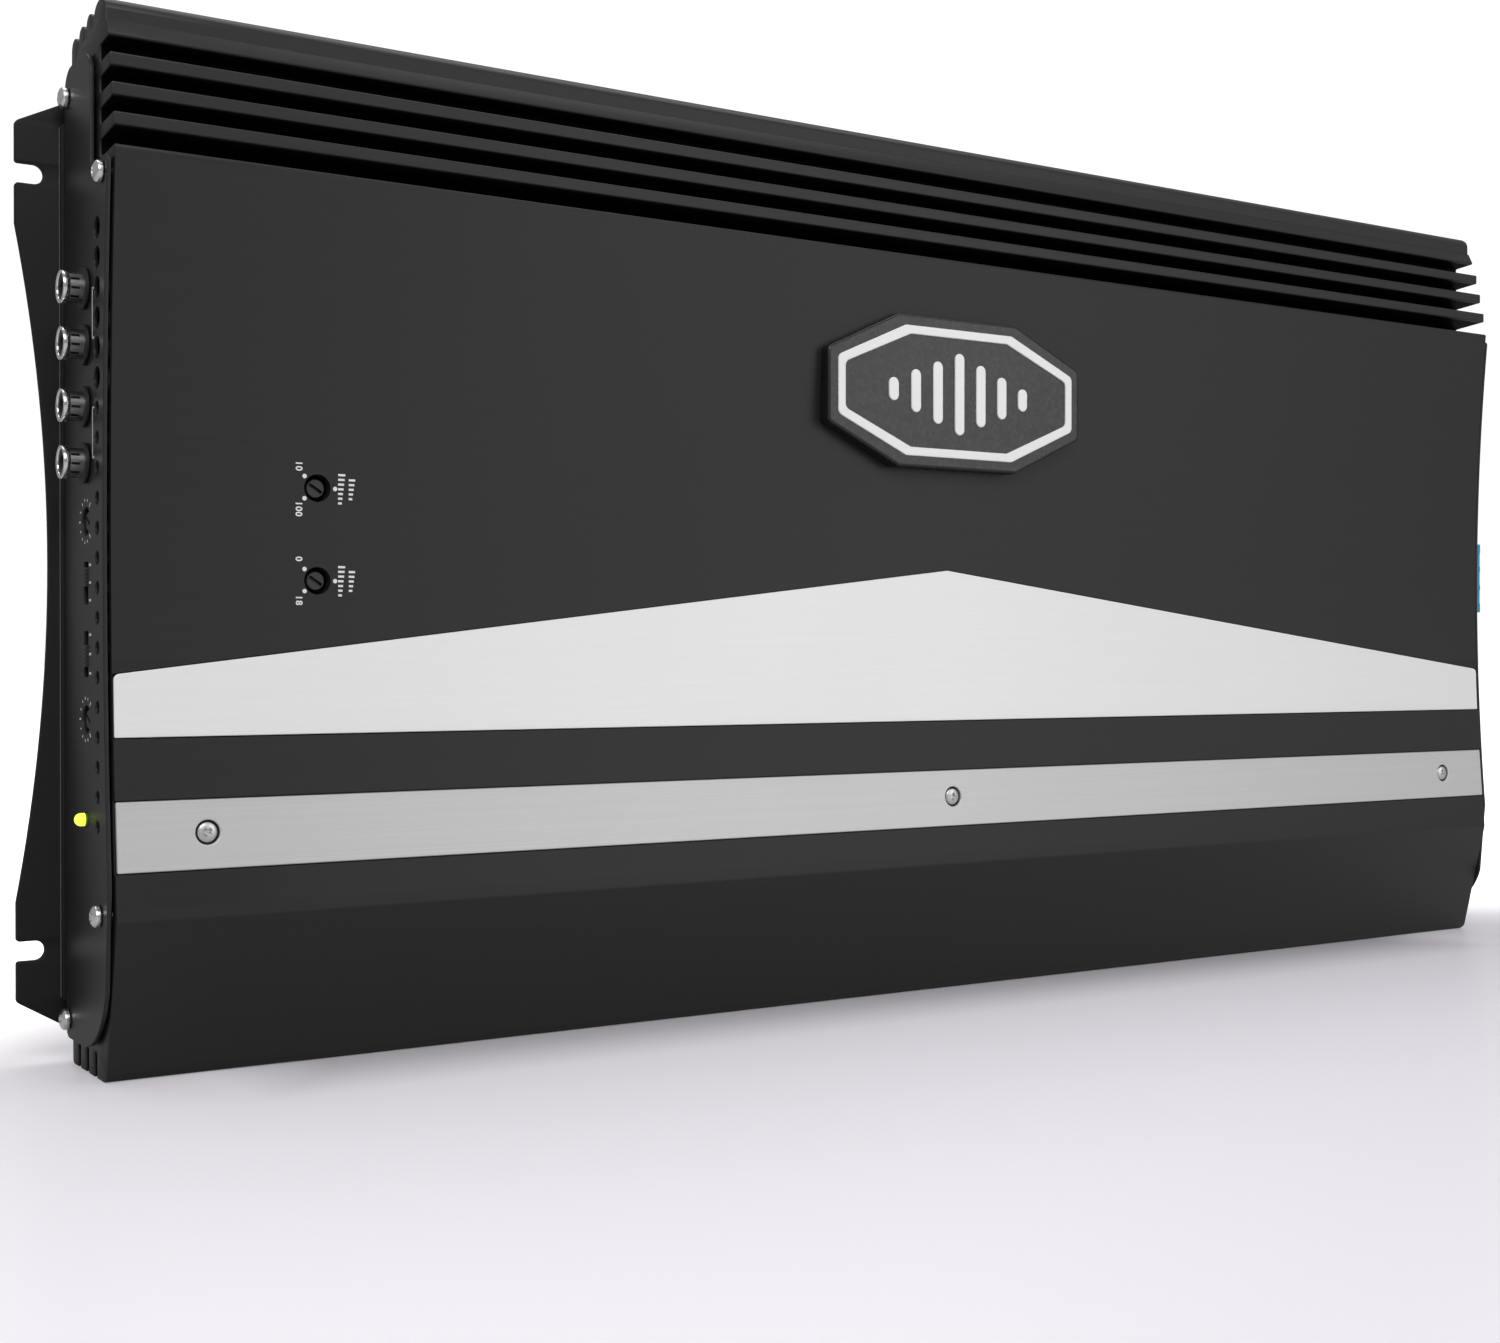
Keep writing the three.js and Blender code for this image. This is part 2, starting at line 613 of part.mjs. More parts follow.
function makeBasePlate() {
  const plate = alongDepth(plateOutline(), TOTAL_DEPTH - PLATE_THICK, TOTAL_DEPTH);
  const lipIn = CASE_DEPTH + GAP;
  const lipOut = TOTAL_DEPTH - 1;
  const ends = box(-LIP_REACH, LIP_REACH, lipIn, lipOut, ...FLANGE_ENDS);
  const outer = box(-END, END, lipIn, lipOut, PLATE_LOW, PLATE_HIGH).add(ends);
  const inside = END - 2;
  const low = PLATE_LOW + LIP_WIDE;
  const high = PLATE_HIGH - LIP_WIDE;
  const inner = box(-inside, inside, lipIn - 1, TOTAL_DEPTH - PLATE_THICK, low, high);
  return plate.add(cut(outer, [inner]));
}

// ---- Jacks, dials, switches and lamp ----
function makeJackSleeve(z) {
  const base = PANEL_OUT + GAP;
  const rim = base + JACK_LONG;
  const profile = [
    [JACK_BORE, base],
    [JACK_FLANGE, base],
    [JACK_FLANGE, base + 0.8],
    [JACK_BARREL, base + 1.1],
    [JACK_BARREL, rim - 1.8],
    [JACK_RIM, rim - 1.4],
    [JACK_RIM, rim - 0.3],
    [JACK_RIM - 0.3, rim],
    [JACK_BORE, rim],
    [JACK_BORE, base],
  ];
  return turned(profile, 16, LEFT, 0, CONTROL_DEPTH, z);
}

// Insulating block for two jacks, with a hollow core that runs out into each sleeve.
function makeJackHousing(zHigh, zLow) {
  const block = box(-END + 0.6, -END + 9, CONTROL_DEPTH - 6, CONTROL_DEPTH + 9, zLow - 6, zHigh + 6);
  const inner = END - 4;
  const outer = PANEL_OUT + JACK_LONG - 1.4;
  const core = (z) => rod(CORE_RADIUS, inner, outer, 16, LEFT, 0, CONTROL_DEPTH, z);
  const socket = (z) => rod(CONTACT_BORE, inner + 0.3, outer + 1, 12, LEFT, 0, CONTROL_DEPTH, z);
  return cut(join([block, core(zHigh), core(zLow)]), [socket(zHigh), socket(zLow)]);
}

// A small rotary control: its body and its slotted shaft. tip is the shaft end's distance along toward.
const DIAL_BODY = 5.4;
const DIAL_LONG = 8.4;

function makeDialBody(tip, toward, x, depth, z) {
  const block = new THREE.BoxGeometry(DIAL_BODY * 2, 6, DIAL_BODY * 2);
  block.translate(0, tip - DIAL_LONG + 1, 0);
  block.applyQuaternion(new THREE.Quaternion().setFromUnitVectors(AXES.y, toward));
  block.translate(x, depthToY(depth), z);
  const well = rod(SHAFT_RADIUS + GAP, tip - DIAL_LONG + 0.2, tip + 1, 24, toward, x, depth, z);
  return cut(solid(block), [well]);
}

function makeDialShaft(tip, turnedBy, toward, x, depth, z) {
  const foot = tip - DIAL_LONG + 0.5;
  const profile = [
    [0, foot],
    [SHAFT_RADIUS, foot],
    [SHAFT_RADIUS, tip - 0.4],
    [SHAFT_RADIUS - 0.4, tip],
    [0, tip],
  ];
  const slot = new THREE.BoxGeometry(SHAFT_RADIUS * 2 + 1, 2.6, 1);
  slot.rotateY(THREE.MathUtils.degToRad(turnedBy));
  slot.translate(0, tip, 0);
  slot.applyQuaternion(new THREE.Quaternion().setFromUnitVectors(AXES.y, toward));
  slot.translate(x, depthToY(depth), z);
  return cut(turned(profile, 24, toward, x, depth, z), [solid(slot)]);
}

function makeSwitchBody({ low, high }) {
  const body = box(-END + 0.6, -END + 7, CONTROL_DEPTH - 3.6, CONTROL_DEPTH + 3.6, low - 3, high + 3);
  return cut(body, [switchWindow(-END - 1, -END + 5.6, low, high)]);
}

function makeSwitchSlider({ sliderLow, sliderHigh }) {
  const piece = (x0, x1, half, z0, z1) => box(x0, x1, CONTROL_DEPTH - half, CONTROL_DEPTH + half, z0, z1);
  const block = piece(-PANEL_OUT - 0.6, -END + 5.2, SLIDER_HALF, sliderLow, sliderHigh);
  const grooves = [];
  const pitch = (sliderHigh - sliderLow) / 4;
  for (let i = 1; i < 4; i++) {
    const z = sliderLow + pitch * i;
    grooves.push(piece(-PANEL_OUT - 1, -PANEL_OUT - 0.1, SLIDER_HALF + 1, z - 0.25, z + 0.25));
  }
  return cut(block, grooves);
}

function makeLamp() {
  const dome = arc(0, PANEL_OUT + 1.3, LAMP_RADIUS, 0, 90, 4);
  const foot = PANEL_IN - LAMP_LONG;
  const profile = [[0, foot], [LAMP_FLANGE, foot], [LAMP_FLANGE, foot + 1], [LAMP_RADIUS, foot + 1], ...dome];
  profile[profile.length - 1][0] = 0;
  return turned(profile, 16, LEFT, 0, CONTROL_DEPTH, LED_Z);
}

// ---- Terminals and fuses ----
function blockCentres({ count, pitch, z }) {
  return Array.from({ length: count }, (_, i) => z + (i - (count - 1) / 2) * pitch);
}

function screwX({ well }) {
  return PANEL_OUT + BLOCK_PROUD - well / 2 - 0.6;
}

function makeTerminalBlock(block) {
  const out = PANEL_OUT + BLOCK_PROUD;
  const half = block.tall / 2 - GAP;
  const reach = blockHalf(block) - GAP;
  const low = block.z - reach;
  const body = box(out - BLOCK_LENGTH, out, BLOCK_DEPTH - half, BLOCK_DEPTH + half, low, block.z + reach);
  const tools = [];
  const wellHalf = block.well / 2;
  const wellDepth = BLOCK_DEPTH + WELL_OFFSET;
  for (const z of blockCentres(block)) {
    const near = wellDepth - wellHalf;
    tools.push(box(out - WELL_LONG, out + 1, near, near + block.well, z - wellHalf, z + wellHalf));
    tools.push(rod(block.screw + GAP, -BLOCK_DEPTH, 0, 16, FRONT, screwX(block), 0, z));
  }
  return cut(body, tools);
}

function makeTerminalScrew(block, z) {
  const head = BLOCK_DEPTH - block.tall / 2 + 1.4;
  const shank = rod(block.screw, -head - 6, -head, 14, FRONT, screwX(block), 0, z);
  const slot = box(screwX(block) - 0.4, screwX(block) + 0.4, head - 1, head + 1.2, z - 4, z + 4);
  return cut(shank, [slot]);
}

const HOLDER_OUT = PANEL_OUT + 2.5;

function makeFuseHolder() {
  const outside = HOLDER_HALF - GAP;
  const low = FUSE_Z - outside;
  const inner = HOLDER_OUT - HOLDER_LONG;
  const body = box(inner, HOLDER_OUT, HOLDER_FRONT + GAP, HOLDER_BACK - GAP, low, low + 2 * outside);
  const tools = [];
  const half = FUSE_THICK / 2 + GAP;
  const reach = FUSE_WIDE / 2 + GAP;
  const seat = HOLDER_OUT - FUSE_SEAT;
  for (const depth of FUSE_DEPTHS) {
    tools.push(box(seat, HOLDER_OUT + 1, depth - half, depth + half, FUSE_Z - reach, FUSE_Z + reach));
    for (const side of [-1, 1]) {
      tools.push(bladeBox(seat - BLADE_LONG - 1, seat + 1, depth, side, 0.4));
    }
  }
  return cut(body, tools);
}

// One of a fuse's two blades, or its slot in the holder when it is grown by margin.
function bladeBox(x0, x1, depth, side, margin) {
  const half = BLADE_THICK / 2 + margin;
  const reach = BLADE_HALF + margin;
  const z = FUSE_Z + side * BLADE_OFFSET;
  return box(x0, x1, depth - half, depth + half, z - reach, z + reach);
}

function makeFuse(depth) {
  const foot = HOLDER_OUT - FUSE_SEAT + GAP;
  const part = (x0, x1, inset) => {
    const half = FUSE_THICK / 2 - inset;
    const reach = FUSE_WIDE / 2 - inset;
    return box(x0, x1, depth - half, depth + half, FUSE_Z - reach, FUSE_Z + reach);
  };
  const body = part(foot, FUSE_OUT - FUSE_GRIP, 0);
  const grip = part(FUSE_OUT - FUSE_GRIP - 1, FUSE_OUT, 0.9);
  const blades = [-1, 1].map((side) => bladeBox(foot - BLADE_LONG, foot + 1, depth, side, 0));
  return join([body, grip, ...blades]);
}

// ---- Electronics inside ----
function makeMainBoard() {
  return box(-BOARD_HALF, BOARD_HALF, BOARD_DEPTH, BOARD_DEPTH + BOARD_THICK, BOARD_LOW, BOARD_HIGH);
}

function makeInputBoard() {
  return box(-END + 9.4, -END + 9.4 + BOARD_THICK, 10.5, BOARD_DEPTH - GAP, 52, 204);
}

function makeDialBoard(depth) {
  return box(FACE_DIAL_X - 16, FACE_DIAL_X + 16, depth, depth + BOARD_THICK, BASS_Z - 14, SUBSONIC_Z + 14);
}

function makeToroid(x) {
  const profile = [[9, 1], [11, 0], [22, 0], [24, 2], [24, 16], [22, 18], [11, 18], [9, 17], [9, 1]];
  return turned(profile, 20, FRONT, x, BOARD_DEPTH - GAP, FACE_MID);
}

function makeCapacitor(x, z) {
  const profile = [[0, 0], [10.6, 0], [11, 0.6], [11, 21.4], [10.4, 22], [0, 22]];
  return turned(profile, 16, FRONT, x, BOARD_DEPTH - GAP, z);
}

// Power transistors held against the case's upper wall by one long clamp bar.
function makeTransistorRow() {
  const reach = ((TRANSISTOR_COUNT - 1) / 2) * TRANSISTOR_PITCH;
  const bar = box(-reach - 10, reach + 10, 22, 27, CAVITY_HIGH - 9, CAVITY_HIGH - 6);
  const packages = [];
  for (let i = 0; i < TRANSISTOR_COUNT; i++) {
    const x = TRANSISTOR_PITCH * i - reach;
    packages.push(box(x - 8, x + 8, 18.5, 32.5, CAVITY_HIGH - 6.2, CAVITY_HIGH - GAP));
  }
  return join([bar, ...packages]);
}

function makeSheet() {
  return box(-BOARD_HALF, BOARD_HALF, SHEET_DEPTH, SHEET_DEPTH + SHEET_THICK, BOARD_LOW - 2, BOARD_HIGH + 2);
}

// ---- Assembly ----
const amplifier = new THREE.Group();
amplifier.position.z = FOOT_DROP;

function place(name, body, finish) {
  const mesh = new THREE.Mesh(geometryOf(body), finish);
  mesh.name = name;
  amplifier.add(mesh);
}

place("heatsink_case", makeCase(), black);
place("base_plate", makeBasePlate(), panelBlack);
place("control_panel", makeControlPanel(), panelBlack);
place("terminal_panel", makeTerminalPanel(), panelBlack);
place("chevron_panel", chevronSolid(0, -0.05, CHEVRON_THICK), silver);
place("trim_strip", makeStrip(), silver);
place("badge_plate", makeBadgePlate(), plastic);
place("badge_inlay", makeBadgeInlay(), white);
const stripSeat = faceDepth(STRIP_SCREW_Z) + STRIP_THICK - GAP;
STRIP_SCREW_X.forEach((x, i) => {
  place(`strip_screw_${i + 1}`, panScrew(STRIP_HEAD, FRONT, x, stripSeat, STRIP_SCREW_Z), chrome);
});
for (const [end, toward] of [["control", LEFT], ["terminal", RIGHT]]) {
  const seat = (PANEL_OUT + GAP) * Math.sign(toward.x);
  END_SCREWS.forEach(([depth, z], i) => {
    place(`${end}_panel_screw_${i + 1}`, panScrew(PAN_HEAD, toward, seat, depth, z), chrome);
  });
}

JACK_Z.forEach((z, i) => place(`rca_sleeve_${i + 1}`, makeJackSleeve(z), chrome));
place("rca_housing_upper", makeJackHousing(JACK_Z[0], JACK_Z[1]), plastic);
place("rca_housing_lower", makeJackHousing(JACK_Z[2], JACK_Z[3]), plastic);

const SLOT_ANGLE = 33;
const panelTip = PANEL_OUT - 0.6;
for (const [name, z] of [["gain", GAIN_Z], ["crossover", CROSSOVER_Z]]) {
  place(`${name}_pot_body`, makeDialBody(panelTip, LEFT, 0, CONTROL_DEPTH, z), plastic);
  place(`${name}_pot_shaft`, makeDialShaft(panelTip, SLOT_ANGLE, LEFT, 0, CONTROL_DEPTH, z), plastic);
}
const faceTip = -faceDepth(SUBSONIC_Z) - 1.5;
for (const [name, z] of [["subsonic", SUBSONIC_Z], ["bass", BASS_Z]]) {
  place(`${name}_pot_body`, makeDialBody(faceTip - 3, FRONT, FACE_DIAL_X, 0, z), plastic);
  place(`${name}_pot_shaft`, makeDialShaft(faceTip, SLOT_ANGLE, FRONT, FACE_DIAL_X, 0, z), plastic);
}
for (const spec of SWITCHES) {
  place(`${spec.name}_body`, makeSwitchBody(spec), plastic);
  place(`${spec.name}_slider`, makeSwitchSlider(spec), plastic);
}
place("power_led", makeLamp(), ledGreen);

place("fuse_holder", makeFuseHolder(), plastic);
FUSE_DEPTHS.forEach((depth, i) => place(`fuse_${i + 1}`, makeFuse(depth), fuseBlue));
for (const block of [POWER_BLOCK, SPEAKER_BLOCK]) {
  place(`${block.name}_block`, makeTerminalBlock(block), plastic);
  blockCentres(block).forEach((z, i) => {
    place(`${block.name}_screw_${i + 1}`, makeTerminalScrew(block, z), chrome);
  });
}

place("main_board", makeMainBoard(), boardGreen);
place("input_board", makeInputBoard(), boardGreen);
place("dial_board", makeDialBoard(-faceTip + 15), boardGreen);
TOROIDS_X.forEach((x, i) => place(`toroid_${i + 1}`, makeToroid(x), copper));
CAPACITORS_Z.forEach((z, i) => place(`capacitor_${i + 1}`, makeCapacitor(CAPACITORS_X, z), sleeveBlack));
place("transistor_row", makeTransistorRow(), plastic);
place("insulating_sheet", makeSheet(), sheetGrey);

export default amplifier;
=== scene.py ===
import math

import bmesh
import bpy
from mathutils import Euler, Matrix, Vector
from mathutils.geometry import tessellate_polygon


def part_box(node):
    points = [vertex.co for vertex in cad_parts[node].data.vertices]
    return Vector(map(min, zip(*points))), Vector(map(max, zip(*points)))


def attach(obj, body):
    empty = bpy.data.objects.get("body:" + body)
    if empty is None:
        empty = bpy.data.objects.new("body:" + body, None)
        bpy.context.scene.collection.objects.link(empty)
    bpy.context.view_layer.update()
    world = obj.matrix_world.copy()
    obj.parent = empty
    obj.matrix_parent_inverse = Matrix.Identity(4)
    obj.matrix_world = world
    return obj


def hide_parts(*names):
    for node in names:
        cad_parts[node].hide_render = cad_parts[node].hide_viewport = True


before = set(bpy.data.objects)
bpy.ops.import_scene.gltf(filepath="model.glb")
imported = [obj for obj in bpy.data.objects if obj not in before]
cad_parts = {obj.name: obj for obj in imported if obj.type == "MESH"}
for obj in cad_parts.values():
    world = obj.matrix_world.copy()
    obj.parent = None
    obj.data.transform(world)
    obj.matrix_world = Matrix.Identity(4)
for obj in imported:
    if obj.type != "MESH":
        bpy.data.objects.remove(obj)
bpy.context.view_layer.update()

# ---- The frame. Sections are drawn in millimetres as (depth, z): depth 0 is the plane through the two
# long edges of the hollow front face, and depth grows towards the mounting side. The floor lies at
# z = -FOOT_DROP, and each piece is lifted by it when it is settled.
MM = 0.001
FOOT_DROP = 1.5
BODY = "amplifier"
LEFT = Vector((-1, 0, 0))
RIGHT = Vector((1, 0, 0))
FRONT = Vector((0, -1, 0))
BACK = Vector((0, 1, 0))


def box_mm(node):
    drop = Vector((0, 0, FOOT_DROP))
    low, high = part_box(node)
    return low / MM - drop, high / MM - drop


def middle(node):
    low, high = box_mm(node)
    return (low + high) / 2


case_low, case_high = box_mm("heatsink_case")
END = case_high.x
HEIGHT = case_high.z
CASE_DEPTH = case_high.y - case_low.y
DEPTH_ZERO = case_low.y


def depth_of(y):
    return y - DEPTH_ZERO


# ---- Outline helpers, all in millimetres ----
def rounded(points, steps=6):
    """A closed outline whose corners (u, v, radius) are replaced by arcs; a missing radius is sharp."""
    outline = []
    count = len(points)
    for i, point in enumerate(points):
        here = Vector(point[:2])
        radius = point[2] if len(point) > 2 else 0
        if radius <= 0:
            outline.append((here.x, here.y))
            continue
        before = Vector(points[i - 1][:2]) - here
        after = Vector(points[(i + 1) % count][:2]) - here
        half = before.angle(after) / 2
        reach = min(radius / math.tan(half), before.length * 0.49, after.length * 0.49)
        radius = reach * math.tan(half)
        start = here + before.normalized() * reach
        end = here + after.normalized() * reach
        centre = here + (before.normalized() + after.normalized()).normalized() * radius / math.sin(half)
        first = start - centre
        sweep = first.angle_signed(end - centre)
        for k in range(steps + 1):
            turned = first.copy()
            turned.rotate(Matrix.Rotation(-sweep * k / steps, 2))
            outline.append((centre.x + turned.x, centre.y + turned.y))
    return outline


def arc(u, v, radius, start, end, steps):
    points = []
    for k in range(steps + 1):
        angle = math.radians(start + (end - start) * k / steps)
        points.append((u + radius * math.cos(angle), v + radius * math.sin(angle)))
    return points


def circle(u, v, radius, steps=32):
    return arc(u, v, radius, 0, 360 * (steps - 1) / steps, steps - 1)


def pill(u, v, wide, tall, steps=8):
    half = wide / 2
    reach = tall / 2 - half
    return arc(u, v + reach, half, 0, 180, steps) + arc(u, v - reach, half, 180, 360, steps)


def rectangle(u0, u1, v0, v1, radius=0.0):
    return rounded([(u0, v0, radius), (u1, v0, radius), (u1, v1, radius), (u0, v1, radius)], 4)


def patch(u, v, half_u, half_v, radius=0.0):
    """A rectangle given by its centre and half sizes."""
    return rectangle(u - half_u, u + half_u, v - half_v, v + half_v, radius)


def area(loop):
    total = 0
    for (u0, v0), (u1, v1) in zip(loop, loop[1:] + loop[:1]):
        total += u0 * v1 - u1 * v0
    return total / 2


def offset(loop, inset):
    """The loop moved to its left by inset: inwards where it runs anticlockwise."""
    moved = []
    count = len(loop)
    for i, point in enumerate(loop):
        here = Vector(point)
        into = (here - Vector(loop[i - 1])).normalized()
        out = (Vector(loop[(i + 1) % count]) - here).normalized()
        side = Vector((-into.y - out.y, into.x + out.x))
        if side.length < 1e-6:
            side = Vector((-into.y, into.x))
        side.normalize()
        stretch = 1 / max(0.5, side.dot(Vector((-into.y, into.x))))
        moved.append(tuple(here + side * inset * stretch))
    return moved


# ---- Mesh helpers ----
SHARP = 35  # edges that turn by more degrees than this stay sharp


def along_x(u, v, w):
    return Vector((w, u + DEPTH_ZERO, v)) * MM


def along_depth(u, v, w):
    return Vector((u, w + DEPTH_ZERO, v)) * MM


def upright(u, v, w):
    return Vector((u, v, w)) * MM


def add_object(name, data):
    obj = bpy.data.objects.new(name, data)
    bpy.context.scene.collection.objects.link(obj)
    return obj


def mesh_of(name, bm):
    mesh = bpy.data.meshes.new(name)
    bm.to_mesh(mesh)
    bm.free()
    return mesh


def soften(mesh):
    mesh.shade_smooth()
    mesh.set_sharp_from_angle(angle=math.radians(SHARP))


def make_object(name, vertices, faces):
    mesh = bpy.data.meshes.new(name)
    mesh.from_pydata([tuple(v) for v in vertices], [], faces)
    bm = bmesh.new()
    bm.from_mesh(mesh)
    bmesh.ops.remove_doubles(bm, verts=bm.verts, dist=1e-7)
    bmesh.ops.recalc_face_normals(bm, faces=bm.faces)
    bm.to_mesh(mesh)
    bm.free()
    soften(mesh)
    return add_object(name, mesh)


def edge_rings(edge, w0, w1, steps):
    """(inset, w) pairs that round both edges of a slab between w0 and w1."""
    rings = []
    for k in range(steps + 1):
        angle = math.pi / 2 * k / steps
        rings.append((edge * (1 - math.sin(angle)), edge * (1 - math.cos(angle))))
    first = [(inset, w0 + rise) for inset, rise in rings]
    last = [(inset, w1 - rise) for inset, rise in reversed(rings)]
    return first + last


def slab(name, outline, w0, w1, place, holes=(), edge=0.3, steps=3):
    """A plate with rounded edges: an outline and its holes, pulled from w0 to w1 along place's axis."""
    loops = [outline if area(outline) > 0 else outline[::-1]]
    loops += [hole if area(hole) < 0 else hole[::-1] for hole in holes]
    rings = edge_rings(edge, w0, w1, steps) if edge else [(0, w0), (0, w1)]
    vertices, faces, layers = [], [], []
    for inset, w in rings:
        moved = [offset(loop, inset) if inset else loop for loop in loops]
        layers.append((len(vertices), moved))
        for loop in moved:
            vertices += [place(u, v, w) for u, v in loop]
    for (lower, moved), (upper, _) in zip(layers, layers[1:]):
        start = 0
        for loop in moved:
            count = len(loop)
            for i in range(start, start + count):
                j = start + (i + 1 - start) % count
                faces.append((lower + i, lower + j, upper + j, upper + i))
            start += count
    for base, moved in (layers[0], layers[-1]):
        caps = [[Vector((u, v, 0)) for u, v in loop] for loop in moved]
        faces += [tuple(base + i for i in triangle) for triangle in tessellate_polygon(caps)]
    plate = make_object(name, vertices, faces)
    axis = (place(0, 0, 1) - place(0, 0, 0)).normalized()
    for face in plate.data.polygons:
        face.use_smooth = abs(face.normal.dot(axis)) < 0.9995
    return plate


def facing(direction, origin_mm):
    """Matrix that sends +Z to direction and the origin to a point given in millimetres."""
    turn = Vector((0, 0, 1)).rotation_difference(direction).to_matrix().to_4x4()
    return Matrix.Translation(Vector(origin_mm) * MM) @ turn


def turned(name, profile, segments, closed=False):
    """A turned piece round its own Z: profile of (radius, height) in millimetres."""
    vertices, faces, rings = [], [], []
    for radius, height in profile:
        count = 1 if radius < 1e-6 else segments
        rings.append(range(len(vertices), len(vertices) + count))
        for k in range(count):
            angle = 2 * math.pi * k / segments
            vertices.append(Vector((radius * math.cos(angle), radius * math.sin(angle), height)) * MM)
    pairs = list(zip(rings, rings[1:]))
    if closed:
        pairs.append((rings[-1], rings[0]))
    for low, high in pairs:
        for k in range(segments):
            j = (k + 1) % segments
            corners = (low[k % len(low)], low[j % len(low)], high[j % len(high)], high[k % len(high)])
            corners = tuple(dict.fromkeys(corners))
            if len(corners) > 2:
                faces.append(corners)
    return make_object(name, vertices, faces)


def block(name, low, high, edge=0.25):
    """A box between two corners in millimetres, with rounded edges all round."""
    bm = bmesh.new()
    bmesh.ops.create_cube(bm, size=1)
    size = Vector(high) - Vector(low)
    centre = (Vector(high) + Vector(low)) / 2
    for vertex in bm.verts:
        vertex.co = Vector([(c * s + m) * MM for c, s, m in zip(vertex.co, size, centre)])
    if edge:
        bmesh.ops.bevel(bm, geom=bm.edges[:], offset=edge * MM, segments=3, profile=0.6, affect="EDGES")
    mesh = mesh_of(name, bm)
    soften(mesh)
    return add_object(name, mesh)


def settled_mesh(obj):
    """The object's mesh with its modifiers applied, or its outline as a mesh for a text."""
    bpy.context.view_layer.update()
    return bpy.data.meshes.new_from_object(obj.evaluated_get(bpy.context.evaluated_depsgraph_get()))


def carve(obj, cutters, sharp=SHARP, join=False):
    """Cuts (or joins) other objects out of obj and removes them."""
    for cutter in cutters:
        modifier = obj.modifiers.new("carve", "BOOLEAN")
        modifier.operation = "UNION" if join else "DIFFERENCE"
        modifier.solver = "EXACT"
        modifier.object = cutter
    mesh = settled_mesh(obj)
    obj.modifiers.clear()
    obj.data = mesh
    mesh.set_sharp_from_angle(angle=math.radians(sharp))
    for cutter in cutters:
        bpy.data.objects.remove(cutter)
    return obj


def split_across(mesh, axis, places):
    """Adds edges where the planes across an axis, at places in millimetres, meet the mesh."""
    bm = bmesh.new()
    bm.from_mesh(mesh)
    for place in places:
        geometry = bm.verts[:] + bm.edges[:] + bm.faces[:]
        bmesh.ops.bisect_plane(bm, geom=geometry, plane_co=Vector(axis) * place * MM, plane_no=axis)
    bm.to_mesh(mesh)
    bm.free()


def flatten_front(mesh, least):
    """Flat shading for the large faces that look forwards or back: their corners carry an edge's tilt."""
    for polygon in mesh.polygons:
        if abs(polygon.normal.y) > 0.99 and polygon.area > least:
            polygon.use_smooth = False


def merge(name, objects):
    """One object made of several, with their places kept."""
    bpy.context.view_layer.update()
    bm = bmesh.new()
    for obj in objects:
        piece = obj.data.copy()
        piece.transform(obj.matrix_world)
        bm.from_mesh(piece)
        bpy.data.objects.remove(obj)
    return add_object(name, mesh_of(name, bm))


def paint(mesh, key):
    mesh.materials.clear()
    mesh.materials.append(materials[key])


def settle(obj, key, body=BODY, replaces=()):
    """Gives a piece its material, its body and the CAD nodes that it stands for."""
    paint(obj.data, key)
    obj.matrix_world = Matrix.Translation((0, 0, FOOT_DROP * MM)) @ obj.matrix_world
    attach(obj, body)
    if replaces:
        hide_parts(*replaces)


# ---- Materials ----
materials = {}


class Nodes:
    """The node tree of a material or world, with a short call for each kind of node used here."""

    def __init__(self, owner, shader="Principled BSDF"):
        owner.use_nodes = True
        self.owner = owner
        self.tree = owner.node_tree
        self.shader = self.tree.nodes[shader]
        self.place = self.add("TexCoord").outputs["Object"]

    def feed(self, socket, value):
        """Gives a socket, or the shader's input of that name, a value or another node's output."""
        if isinstance(socket, str):
            socket = self.shader.inputs[socket]
        if isinstance(value, bpy.types.NodeSocket):
            self.tree.links.new(value, socket)
        else:
            socket.default_value = (*value, 1) if socket.type == "RGBA" else value

    def add(self, kind, **inputs):
        node = self.tree.nodes.new("ShaderNode" + kind)
        for name, value in inputs.items():
            self.feed(node.inputs[name.replace("_", " ")], value)
        return node

    def camera_ray(self):
        return self.add("LightPath").outputs["Is Camera Ray"]

    def axes(self):
        return self.add("SeparateXYZ", Vector=self.place).outputs

    def noise(self, scale, detail, stretch=(1, 1, 1)):
        mapping = self.add("Mapping", Scale=stretch, Vector=self.place)
        return self.add("TexNoise", Scale=scale, Detail=detail, Vector=mapping.outputs[0]).outputs["Fac"]

    def spread(self, value, low, high, start=0.3, end=0.7):
        """Sends value's stretch from start to end to low to high."""
        ends = {"From_Min": start, "From_Max": end, "To_Min": low, "To_Max": high}
        return self.add("MapRange", Value=value, **ends).outputs["Result"]

    def blend(self, factor, *colours):
        node = self.add("Mix")
        node.data_type = "RGBA"
        for key, colour in zip("AB", colours):
            self.feed([s for s in node.inputs if s.name == key and s.type == "RGBA"][0], colour)
        self.feed(node.inputs["Factor"], factor)
        return [s for s in node.outputs if s.type == "RGBA"][0]

    def math(self, operation, *values):
        node = self.add("Math")
        node.operation = operation
        for socket, value in zip(node.inputs, values):
            self.feed(socket, value)
        return node.outputs["Value"]

    def bump(self, height, strength, distance):
        node = self.add("Bump", Strength=strength, Distance=distance, Height=height)
        self.feed("Normal", node.outputs["Normal"])


def scaled(colour, factor, lift=0.0):
    return tuple(min(1.0, c * factor + lift) for c in colour)


